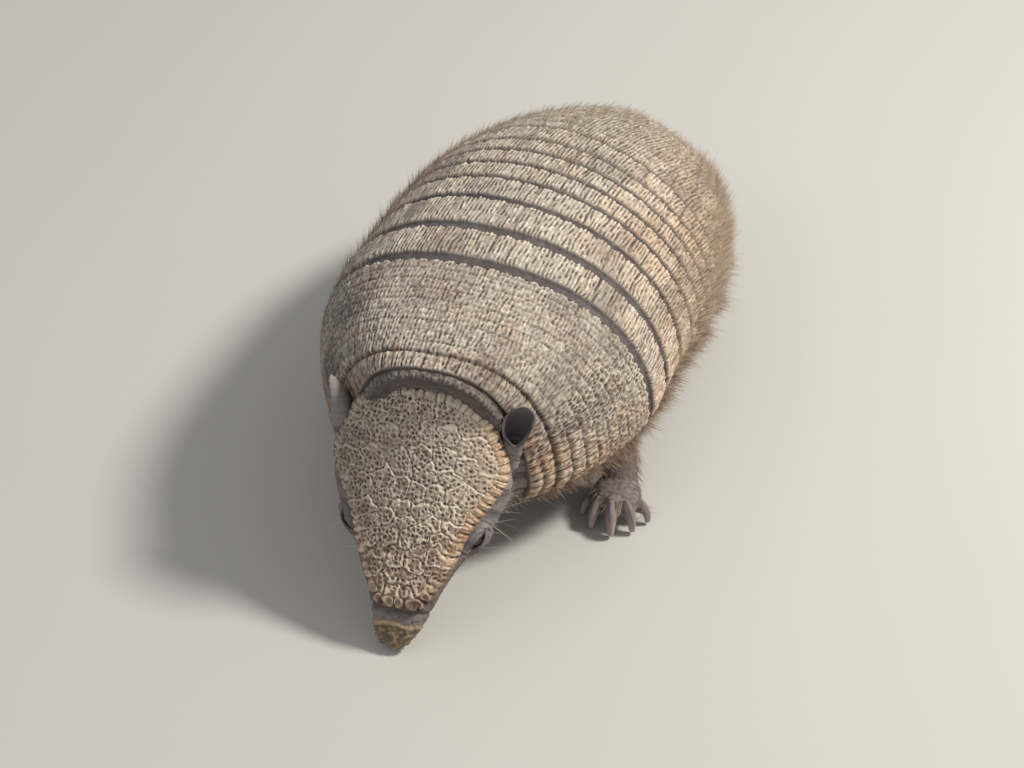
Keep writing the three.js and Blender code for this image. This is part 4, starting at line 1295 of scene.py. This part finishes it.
def headSurface():
    forms = [headLoft(), neckLoft(), earLoft(1), earLoft(-1)]
    forms += [lidLoft(side, *fold) for side in (1, -1) for fold in eyeFolds]
    points, faces = remeshed(forms, headSkin["voxel"], 4)
    normals = pointNormals(points, faces)
    along, across, above = headPlace(points)
    onEar, inEar, cheekHighlight = np.zeros((3, len(points)))
    eyeAway = np.full(len(points), farAway)
    for side in (1, -1):
        base, rise, _, forward = earAxes(side)
        height = (points - base) @ rise
        near = np.linalg.norm(points - base - rise * height[:, None] + forward * 0.4, axis=1)
        leaf = (near < 9.5) * smoothStep(7, 12, height) * (height < 37)
        cup = smoothStep(0.0, 0.4, normals @ forward) * smoothStep(6.2, 4.6, near)
        cup = cup * smoothStep(13, 16, height)
        onEar = np.maximum(onEar, leaf)
        inEar = np.maximum(inEar, leaf * cup * (0.35 + 0.65 * smoothStep(33, 22, height)))
        centre, _, _, up = eyeAxes(side)
        reach = np.linalg.norm(points - centre, axis=1)
        underside = smoothStep(0.1, -0.5, (points - centre) @ up / reach)
        cheekHighlight = np.maximum(cheekHighlight, bell(reach, 6.0, 2.4) * underside)
        eyeAway = np.minimum(eyeAway, reach)

    # the nose pad's lumps, the groove behind the shield, and creases in the rest
    around = np.arctan2(across, above + 12) * 14
    padEdge = head["noseStation"] - headSkin["padBehind"] + 1.6 * noise(around * 0.15, 0, 17)
    onNose = smoothStep(padEdge - 0.8, padEdge + 0.4, along)
    lump = 0.5 * noise(around * 0.5, along * 0.8, 14) + 0.5 * noise(around * 1.3, along * 1.6, 15)
    broken = 0.5 + 0.8 * noise(around * 0.5, 0.5, 12)
    noseFold = np.clip(bell(along, padEdge + 1.2, 0.8) * broken + 0.65 * smoothStep(0.42, 0.72, lump), 0, 1)
    speckled = smoothStep(0.45, 0.75, noise(around * 1.1, along * 1.3, 19)) * smoothStep(96, 99, along)
    crease = np.abs(noise(along * 0.32 + 0.1 * around, around * 0.16, 16) - 0.5) * 2
    fine = np.abs(noise(along * 0.9, around * 0.5, 18) - 0.5) * 2
    creased = -smoothStep(0.3, 0.0, crease) * (0.3 + smoothStep(55, 15, along))
    creased = creased - 0.3 * smoothStep(0.3, 0, fine)
    shift = creased * (1 - onNose) * (1 - onEar) + (noseFold - 0.5) * onNose
    shift = shift - 0.9 * bell(along, head["shieldLength"] + 1.4, 1.0) * (above > -14)
    for side in (1, -1):
        nostril = headPoint(head["fleshStations"][-1] - 0.5, side * 4.2, -5.5)
        shift = shift - 1.7 * bell(np.linalg.norm(points - nostril, axis=1), 0, 1.6)
    shift = shift + 0.3 * np.sin(eyeAway * 2 * math.pi / 1.8) * bell(eyeAway, 8.6, 1.6)
    points = points + normals * shift[:, None]
    for side in (1, -1):  # the socket, behind the eye's surface
        centre, out, ahead, up = eyeAxes(side)
        away = points - centre
        opened = smoothStep(5.4, 4.2, np.hypot(away @ ahead, 1.6 * (away @ up - 0.8)))
        opened = opened * smoothStep(-1, 0.5, away @ out)
        kept = np.minimum(1, headSkin["socket"] / np.maximum(np.linalg.norm(away, axis=1), 0.1))
        points = centre + away * (1 - opened * (1 - kept))[:, None]

    light = 0.3 + 0.45 * smoothStep(0.05, 0.5, crease) + 0.2 * fine
    light = light + 0.35 * speckled + 0.15 * smoothStep(96, 99, along)
    # the right ear is made lighter than the left as painted light
    light = blend(light, 0.78 + 0.2 * (across < 0) + 0.3 * (fine - 0.5), onEar)
    shaded = 0.8 * bell(along, head["shieldLength"] + 1.2, 1.2) * (above > -14)
    # a painted highlight on the cheek fold below each eye, and painted shade round the eye
    light = (light + 0.4 * cheekHighlight) * (1 - 0.5 * bell(eyeAway, 4.2, 1.2) * (1 - cheekHighlight)) * (1 - shaded)
    light = blend(light, 0.22 + 0.7 * noseFold + 0.2 * (fine - 0.5), onNose)
    snout = smoothStep(52, 70, along) * smoothStep(-3, -9, above - sagAt(across))
    points = onFloor(points)
    hide = np.clip(smoothStep(0.5, 0.8, noise3(points, 0.06, 5)) * 0.4 + 0.75 * snout, 0, 0.85)
    # painted shade: the ear's cup is darkened, most deep inside
    return points, faces, looksOf(light * (1 - 0.95 * inEar), onNose, inEar * 0.6, blend(hide, 0.12, onEar))


def bodySurface():  # the trunk, and the limbs in finer cells, with small scales on the feet
    limbForms = []
    for side in (1, -1):
        for end in limbEnds:
            limbForms.append(limbLoft(limbs[end + "leg"], side, stance[side, end], 1.8))
            limbForms.append(limbLoft(limbs[end + "foot"], side, stance[side, end], 0.3))
            limbForms += toeLofts(end, side)
    surfaces = [remeshed([trunkLoft()], trunk["voxel"], 3), remeshed(limbForms, toes["voxel"], 3)]
    points, faces = joined(surfaces)
    x, y, z = points.T
    scale = toes["scale"]
    pebble, pebbleNext, chance = jitteredCells((x + z * 0.7) / scale, (y + z * 0.4) / scale, 80)
    lowDown = smoothStep(26, 16, z)
    scaled = smoothStep(0.04, 0.3, pebbleNext - pebble)
    raised = (0.42 * scaled + 0.2 * chance) * lowDown
    points = onFloor(points + pointNormals(points, faces) * raised[:, None])
    # painted shade: the skin above 50 mm, under the shell, is darkened
    under = smoothStep(50, 56, points[:, 2])
    light = blend(0.45, 0.18 + 0.5 * scaled + 0.15 * chance, lowDown)
    return points, faces, looksOf(light, 0, under, (1 - 0.7 * lowDown) * (1 - under))


def lidSurface(side, lid):
    centre, out, _, up = eyeAxes(side)
    points, faces = lidLoft(side, *lid)
    away = unit(points - centre)
    rimmed = smoothStep(12, 3, np.abs(np.degrees(np.arctan2(away @ up, away @ out)) - lid[0]))
    return points, faces, looksOf(0.68 - 0.5 * rimmed + 0.2 * (noise3(points, 1.4, 3) - 0.5), 0, 0, 0.15)


def skinPiece():
    surfaces = [headSurface(), bodySurface()] + [lidSurface(side, lid) for side in (1, -1) for lid in lids]
    points, faces = joined([surface[:2] for surface in surfaces])
    piece = makeMesh("skin", points, faces, "skin", np.concatenate([surface[2] for surface in surfaces]))
    replaced = [f"{limb}_{sideName}" for sideName in sideOf for limb in limbs]
    keepPiece(piece, "bare_skin", "trunk", "neck", "head", "nose", "ear_left", "ear_right", *replaced)
    return points, faces, len(surfaces[0][0])


skinPoints, skinFaces, headCount = skinPiece()
skinNormals = pointNormals(skinPoints, skinFaces)


# ---- tail, claws and eyes

tailLook = {"rings": 30, "scaleWidth": 4.6, "grid": (220, 96), "shrink": 0.7}


def tailPiece():
    form = limbForm(tailLine, shrink=tailLook["shrink"])
    rows, columns = tailLook["grid"]
    share, angle = np.linspace(0, 1, rows)[:, None], turns(columns)
    x, y = np.cos(angle), np.sin(angle)
    sections = [form(s) for s in share[:, 0]]
    grid = np.array([crossRing(centre, a, b, wide * x, deep * y) for centre, _, a, b, wide, deep in sections])
    outward = np.array([crossRing(0, a, b, x, y) for _, _, a, b, _, _ in sections])
    placed = travelled(np.array([section[0] for section in sections]))[:, None]
    radii = [joint[3] for joint in tailLine]
    around = 2 * math.pi * np.interp(share, np.linspace(0, 1, len(radii)), radii)
    pitch = placed[-1] / tailLook["rings"]
    row = np.floor(placed / pitch)
    counts = np.maximum(6, np.round(around / tailLook["scaleWidth"]))
    counts = counts[np.clip((row * pitch / placed[-1] * (rows - 1)).astype(int), 0, rows - 1)[:, 0]]
    column = angle[None] / (2 * math.pi) * counts + 0.5 * (row % 2)
    a, b = (column - np.floor(column) - 0.5) * 2, (placed / pitch - row) * 2 - 1
    lobe = smoothStep(1.0, 0.78, np.abs(a)) * smoothStep(-1.0, -0.7, b)
    lobe = lobe * smoothStep(1.05, 0.8, b + 0.5 * a ** 2 - 0.15)
    stroke = 0.5 + 0.5 * np.cos(a * math.pi * 3)
    height = (0.55 * lobe * (0.6 + 0.4 * b) + 0.14 * stroke * lobe) * np.minimum(1, (1.15 - share) * 2)
    points, faces = loft(onFloor(grid + outward * (height - 0.2)[..., None]))
    patch = noise(column, row, 91)
    light = 0.15 + 0.55 * lobe * stroke + 0.2 * lobe
    looks = loftLooks(looksOf(light, (1 - lobe) * 0.35, 0.25 * patch, 0.35 + 0.2 * patch))
    piece = makeMesh("tail", points, faces, "plate", looks)
    keepPiece(piece, "tail_scale", "tail_base", "tail_middle", "tail_tip")


tailPiece()


def clawForm(root, tip, radius, side, shift):
    look = clawLook
    tipRadius = look["girth"] * look["tipShare"] * radius
    start, end = standing(root, side, shift), standing(tip, side, shift, 0.8 * tipRadius)
    middle = (start + end) / 2 + clawArch(start, end)
    back = start - unit(middle - start) * 2 * radius
    lines = [curveThrough([0, 1 / 3, 2 / 3, 1], v) for v in np.stack([back, start, middle, end], 1)]
    angle = turns(look["sides"])
    cosine, sine = np.cos(angle), np.sin(angle)
    ridge = 1 + 0.035 * np.cos(angle * look["grooves"])
    rings, looks = [], []
    # the rings stand closer together towards the tip
    for share in 0.28 + 0.72 * np.sin(np.linspace(0, math.pi / 2, look["rings"])):
        centre = np.array([line(share) for line in lines])
        across, upright = crossAxes(unit(np.array([line(share) - line(share - 0.02) for line in lines])))
        tapered = max(0.0, (share - look["taperFrom"]) / (1 - look["taperFrom"]))
        blunt = math.sqrt(max(0.03, 1 - max(0.0, (share - look["bluntFrom"]) / (1 - look["bluntFrom"])) ** 2))
        size = look["girth"] * radius * (1 + (look["tipShare"] - 1) * tapered) * blunt
        x = 0.84 * size * cosine * ridge * (1 - 0.25 * np.maximum(sine, 0) ** 2)
        y = size * np.where(sine > 0, 1.16 * sine, 0.8 * sine) * ridge
        rings.append(onFloor(crossRing(centre, across, upright, x, y)))
        looks.append(looksOf(share ** 2, 0.3 * (ridge < 0.98), 0, 0))
    return *loft(rings), loftLooks(looks)


def eyeForm(side):
    centre, out, ahead, up = eyeAxes(side)
    rows, columns = eye["ball"]
    turn = turns(columns)
    level = ahead * np.cos(turn)[:, None] + up * np.sin(turn)[:, None]
    rings, looks = [], []
    for tilt in np.linspace(0.02, math.pi - 0.02, rows):
        radius = eye["radius"] * (1 + 0.05 * bell(tilt, 0, 0.5)) - 0.15
        rings.append(centre + (out * math.cos(tilt) + level * math.sin(tilt)) * radius)
        looks.append(looksOf(bell(tilt, 0, 0.35), smoothStep(0.75, 1.0, tilt), 0, 0 * turn))
    return *loft(rings), loftLooks(looks)


def keepForms(name, forms, material, *nodes):  # the forms joined as one piece of the material
    points, faces = joined([form[:2] for form in forms])
    piece = makeMesh(name, points, faces, material, np.concatenate([form[2] for form in forms]))
    keepPiece(piece, material, *nodes)


for sideName, side in sideOf.items():
    for end in limbEnds:
        forms = [clawForm(*claw, side, stance[side, end]) for claw in claws[end]]
        nodes = [f"{end}claw_{sideName}_{i + 1}" for i in range(len(forms))]
        keepForms(f"{end}Claws{sideName.capitalize()}", forms, "claw", *nodes)
for sideName, side in sideOf.items():
    keepForms(f"eye{sideName.capitalize()}", [eyeForm(side)], "eye", f"eye_{sideName}")


# ---- hair: thin tapered tufts of three sides

coat = {
    "slot": "hairy_skin",
    "patch": 0.003,
    "shares": (0, 0.4, 0.75),  # where a tuft has its rings of three points
    # tufts for each mm along a row's edge: on the rump, and more on the sides
    "back": {
        "rear": 2.7,
        "sides": 3.0,
        "length": 7.5,
        "sideLength": 3.5,
        "radius": 0.095,
        "shares": (0, 0.5),
    },
    # hair under the rim, and the share of it that stands on the flank: by side, from which station and girth
    "fringe": {
        "count": 10500,
        "length": 15,
        "radius": 0.115,
        "flankShares": {1: 0.36, -1: 0.5},
        "flankLengths": {1: 14, -1: 12},
        "flankFrom": {1: 90, -1: 40},
        "flankGirths": {1: 0.45, -1: 0.28},
    },
    "rear": {"count": 2600, "length": 16, "radius": 0.14},
    "belly": {"count": 5000, "length": 11, "radius": 0.16},
    "leg": {"count": 2100, "length": 7, "radius": 0.12},
    "head": {"count": 1500, "length": 3.6, "radius": 0.1, "standing": 0.4},
    "whisker": {"count": 30, "length": 15, "radius": 0.075, "standing": 1.1},
    "tail": {"count": 700, "length": 4.5, "radius": 0.11},
}
drooping = np.array([0, 0.05, -0.2])  # how far long hair bends by its tip, as a share of its length


def varied(count, least, more):  # random numbers from the least up to as much more
    return least + more * rng.random(count)


def spread(count, size):  # small random vectors
    return (rng.random((count, 3)) - 0.5) * 2 * size


def hairPiece(name, look, roots, directions, normals, lengths, bends, dark, pale, unwrap):
    count = len(roots)
    shares = look.get("shares", coat["shares"])
    directions = unit(directions)
    across = unit(np.cross(directions, normals))
    upright = np.cross(directions, across)
    turn = rng.random(count) * 2 * math.pi
    thickness = look["radius"] * varied(count, 0.7, 0.6)
    dark, pale = np.clip(dark, 0, 1), np.clip(pale, 0, 1)
    corners, places, looks = [], [], []
    for share in shares + (1.0,):
        middle = roots + directions * (lengths * share)[:, None] + bends * (lengths * share ** 2)[:, None]
        for side in range(3 if share < 1 else 1):
            angle = turn + side * 2 * math.pi / 3
            outward = np.cos(angle)[:, None] * across + np.sin(angle)[:, None] * upright
            corners.append(middle + outward * (thickness * (1 - share) ** 0.6)[:, None])
            places.append(unwrap + coat["patch"] * np.array([side / 2 - 0.5, share - 0.5]))
            looks.append(looksOf(dark * (1 - 0.5 * share), pale + (1 - pale) * 0.5 * share ** 2, 0, 0))
    points = np.stack(corners, 1).reshape(-1, 3)
    points[:, 2] = np.maximum(points[:, 2], 0.15)
    tip = 3 * len(shares)
    after = [1, 2, 0]
    rings = range(0, tip - 3, 3)
    sides = [(r + j, r + after[j], r + 3 + after[j], r + 3 + j) for r in rings for j in range(3)]
    ends = [(tip - 3 + j, tip - 3 + after[j], tip) for j in range(3)]
    starts = (tip + 1) * np.arange(count)[:, None, None]
    faces = [(np.array(group)[None] + starts).reshape(-1, len(group[0])) for group in (sides, ends)]
    patches = np.clip(np.stack(places, 1).reshape(-1, 2), 0.002, 0.998)
    piece = makeMesh(name, points, faces, "hair", np.stack(looks, 1).reshape(-1, 4), patches)
    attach(piece, "root")
    print(name, count, "tufts")


def unwrapOf(along, around):  # places on the unwrap, from shares along and around, within its edges
    return np.stack([0.03 + 0.94 * along, 0.03 + 0.94 * around], -1)


def shellUnwrap(station, girth):
    return unwrapOf(station / shell["stations"][-1], 0.5 + 0.5 * girth)


def roundUnwrap(points, start, end):  # along and around an axis
    start, end = np.array(start, float), np.array(end, float)
    axis = unit(end - start)
    side = unit(np.cross(axis, [0.3, 0.2, 0.9]))
    away = points - start
    along = np.clip(away @ axis / np.linalg.norm(end - start), 0, 1)
    return unwrapOf(along, np.arctan2(away @ side, away @ np.cross(axis, side)) / (2 * math.pi) + 0.5)


# the place on the shell, and the directions back, around and out there
def shellFrame(station, girth, inset):
    back = unit(shellPoint(station + 1, girth, inset) - shellPoint(station - 1, girth, inset))
    after, before = (shellPoint(station, np.clip(girth + step, -1, 1), inset) for step in (0.01, -0.01))
    around = unit(after - before)
    return shellPoint(station, girth, inset), back, around, unit(np.cross(around, back))


def backHair():
    look = coat["back"]
    bandEnds = [edges[0] for edges in foldEdges[1:]]
    bandMiddles = [(foldEdges[i][1] + foldEdges[i + 1][0]) / 2 for i in range(7)]
    most = look["rear"] + look["sides"]
    stations, girths = [], []
    for row in shoulderRows[2:] + bandEnds + bandMiddles + rumpRows[1:]:
        girth = varied(int(2 * arcAt(min(row, 262))[-1] * most), -1, 2)
        onSide = smoothStep(0.4, 0.9, np.abs(girth)) * (0.03 + 0.97 * smoothStep(80, 170, row))
        wanted = look["rear"] * smoothStep(110, 195, row) + look["sides"] * onSide
        kept = girth[rng.random(len(girth)) < wanted / most]
        girths.append(kept)
        stations.append(np.full(len(kept), row) - 0.3 - 1.6 * rng.random(len(kept)))
    station, girth = np.concatenate(stations), np.concatenate(girths)
    count = len(station)
    place, back, around, out = shellFrame(station, girth, 1.0)
    side, rearward = smoothStep(0.4, 1.0, np.abs(girth)), smoothStep(60, 220, station)
    sway = noise(station * 0.12, girth * 22, 101) - 0.5
    raised = varied(count, 0.13, 0.1) + 0.6 * rng.random(count) ** 2 * np.maximum(rearward, side)
    leaning = 0.45 * sway + 0.1 * np.sign(girth) * side
    direction = back + out * raised[:, None] + around * leaning[:, None] + spread(count, 0.1)
    length = (look["length"] + look["sideLength"] * side + 3.5 * rearward) * varied(count, 0.45, 0.7)
    bend = -0.1 * out - 0.04 * skyward
    # painted shade: the hair is darker and less pale towards the right side
    hairRightShade = smoothStep(0.1, -0.7, girth)
    dark = varied(count, 0.3, 0.7) + 0.3 * hairRightShade
    pale = 0.4 - 0.35 * hairRightShade + 0.9 * (rng.random(count) - 0.5)
    hairPiece("backHair", look, place, direction, out, length, bend, dark, pale, shellUnwrap(station, girth))


# The fringe under the shell's rim, and the hair that stands out from the flanks behind the shoulders.
def fringeHair(side, sideName):
    look = coat["fringe"]
    count = look["count"]
    flank = rng.random(count) < look["flankShares"][side]
    first, top = look["flankFrom"][side], look["flankGirths"][side]
    station = np.where(flank, varied(count, first, 263 - first), 3 + 262 * rng.random(count) ** 0.85)
    girth = np.where(flank, top + (0.95 - top) * rng.random(count) ** 0.5, varied(count, 0.9, 0.1)) * side
    place, back, _, out = shellFrame(station, girth, np.where(flank, 1.3, varied(count, 2.2, 1.8)))
    place = place - skyward * (3.5 * rng.random(count) * (np.abs(girth) > 0.97))[:, None]
    clump = np.stack([noise(station * 0.3, girth * 30, 110 + k) - 0.5 for k in range(3)], -1)
    outwards = np.array([side, 0.0, 0.0])
    rearward = smoothStep(20, 120, station)
    spreading = varied(count, 0.35, 0.45) * (0.65 + 0.35 * rearward)
    falling = 0.75 - 0.45 * rearward * rng.random(count)
    hanging = back * (0.55 + 0.35 * rearward)[:, None] + outwards * spreading[:, None]
    hanging = hanging - skyward * falling[:, None] + 0.9 * clump
    raised = back + out * varied(count, 0.2, 0.5)[:, None] + 0.35 * clump
    direction = np.where(flank[:, None], raised, hanging) + spread(count, 0.16)
    flankLength = look["flankLengths"][side] * smoothStep(first - 30, first + 70, station)
    length = np.where(flank, flankLength, look["length"] * (0.45 + 0.55 * rearward))
    length = length * varied(count, 0.4, 0.75)
    length = length + ~flank * 9 * rng.random(count) ** 9  # a few long bristles
    bend = np.where(flank[:, None], -0.08 * out, np.array([0, 0.05, -0.16]) - 0.08 * outwards)
    # painted shade makes the right side's hair darker; painted light makes the left flank's hair paler
    dark = varied(count, 0.15, 0.6) + 0.55 * (side < 0) - 0.1 * flank * (side > 0)
    pale = 0.55 * (rng.random(count) - 0.45) + 0.2 * flank * (side > 0)
    name = "fringe" + sideName.capitalize()
    hairPiece(name, look, place, direction, out, length, bend, dark, pale, shellUnwrap(station, girth))


def rearHair():
    look = coat["rear"]
    count = look["count"]
    girth = varied(count, -1, 2)
    station = shell["stations"][-1] - 3 * rng.random(count)
    place, back, _, out = shellFrame(station - 1.5, girth, varied(count, 1.6, 3))
    direction = back + spread(count, 0.35) + 0.25 * out
    length = look["length"] * varied(count, 0.4, 0.7)
    dark, pale = varied(count, 0.2, 0.5), varied(count, -0.55, 1)
    unwrap = shellUnwrap(station, girth)
    hairPiece("rearHair", look, place, direction, out, length, drooping, dark, pale, unwrap)


def rootsOn(weight, count, least=1e-12):  # places just under the skin, and its normals there
    weight = weight + least
    chosen = rng.choice(len(skinPoints), count, p=weight / weight.sum())
    return skinPoints[chosen] + spread(count, 0.4) - 0.3 * skinNormals[chosen], skinNormals[chosen]


def limbAway(end, side):  # distance of the skin's points from a leg's own line
    away = np.full(len(skinPoints), farAway)
    for joint in limbs[end + "leg"] + limbs[end + "foot"]:
        centre = standing(joint, side, stance[side, end])
        away = np.minimum(away, np.linalg.norm(skinPoints - centre, axis=1) - max(joint[3:]))
    return away


def bellyHair():
    look = coat["belly"]
    count = look["count"]
    y, z = skinPoints[:, 1], skinPoints[:, 2]
    weight = smoothStep(44, 36, z) * (y > -118) * (skinNormals[:, 2] < 0.5)
    for side in (1, -1):
        for end in limbEnds:
            weight = weight * smoothStep(0.5, 5, limbAway(end, side))
    place, out = rootsOn(weight, count, 1e-9)
    direction = 0.45 * out + np.array([0, 0.8, -0.35]) + spread(count, 0.3)
    length = look["length"] * varied(count, 0.4, 0.7)
    pale, dark = varied(count, -0.1, 0.9), varied(count, 0.1, 0.7)
    unwrap = roundUnwrap(place, (0, -130, 35), (0, 150, 35))
    hairPiece("bellyHair", look, place, direction, out, length, drooping, dark, pale, unwrap)


def legHair(end, side, sideName):
    look = coat["leg"]
    count = look["count"]
    z = skinPoints[:, 2]
    weight = smoothStep(4, 0, limbAway(end, side)) * smoothStep(3, 9, z)
    weight = weight * (0.35 + smoothStep(12, 20, z)) * (z < 44)
    place, out = rootsOn(weight, count)
    upper = smoothStep(12, 20, place[:, 2])
    lie = blend(np.array([0, -0.9, -0.2]), np.array([0, 0.25, -0.9]), upper[:, None])
    direction = 0.5 * out + lie + spread(count, 0.25)
    length = look["length"] * (0.45 + 0.75 * upper) * varied(count, 0.4, 0.7)
    x, y = limbs[end + "leg"][2][:2]
    unwrap = roundUnwrap(place, *(standing((x, y, z), side, stance[side, end]) for z in (0, 50)))
    pale, dark = varied(count, -0.15, 0.8), varied(count, 0.3, 0.6)
    name = f"{end}Hair{sideName.capitalize()}"
    hairPiece(name, look, place, direction, out, length, -0.15 * skyward, dark, pale, unwrap)


def headHair():
    along, _, _ = headPlace(skinPoints)
    onHead = (along > -8) * (along < 96) * (np.arange(len(skinPoints)) < headCount)
    low = smoothStep(0.35, -0.1, skinNormals @ headUp)
    earAway, eyeAway = np.full((2, len(skinPoints)), farAway)
    for side in (1, -1):
        earBase = headPoint(ear["along"] - 8, side * ear["across"], 0)
        earAway = np.minimum(earAway, np.linalg.norm(skinPoints - earBase, axis=1))
        eyeAway = np.minimum(eyeAway, np.linalg.norm(skinPoints - eyeAxes(side)[0], axis=1))
    bare = smoothStep(16, 22, earAway) * smoothStep(5.5, 7, eyeAway)
    weight = onHead * low * bare * smoothStep(98, 80, along)
    cheek = weight * smoothStep(22, 10, eyeAway)
    for name, look, where in (("headHair", coat["head"], weight), ("whiskers", coat["whisker"], cheek)):
        count = look["count"]
        place, out = rootsOn(where, count)
        direction = -0.55 * headForward + look["standing"] * out + spread(count, 0.35)
        length = look["length"] * varied(count, 0.5, 0.8)
        pale, dark = varied(count, 0.45, 0.7), varied(count, 0, 0.4)
        unwrap = roundUnwrap(place, headPoint(-10, 0, -15), headPoint(115, 0, -10))
        hairPiece(name, look, place, direction, out, length, -0.12 * skyward, dark, pale, unwrap)


def tailHair():
    look = coat["tail"]
    count = look["count"]
    form = limbForm(tailLine, shrink=0.9)
    share = np.sort(rng.random(count)) * 0.96
    angle = rng.random(count) * 2 * math.pi
    place, out, back = [], [], []
    for s, x, y in zip(share, np.cos(angle), np.sin(angle)):
        centre, tangent, across, upright, wide, deep = form(s)
        place.append(centre + wide * x * across + deep * y * upright)
        out.append(x * across + y * upright)
        back.append(tangent)
    place, out, back = np.array(place), np.array(out), np.array(back)
    place[:, 2] = np.maximum(place[:, 2], 0.4)
    length = look["length"] * varied(count, 0.5, 0.8)
    direction = back + 0.35 * out + spread(count, 0.2)
    dark, pale = varied(count, 0, 0.5), varied(count, 0.2, 0.7)
    unwrap = unwrapOf(share, angle / (2 * math.pi))
    hairPiece("tailHair", look, place, direction, out, length, -0.1 * out, dark, pale, unwrap)


backHair()
for sideName, side in sideOf.items():
    fringeHair(side, sideName)
    for end in limbEnds:
        legHair(end, side, sideName)
rearHair()
bellyHair()
headHair()
tailHair()
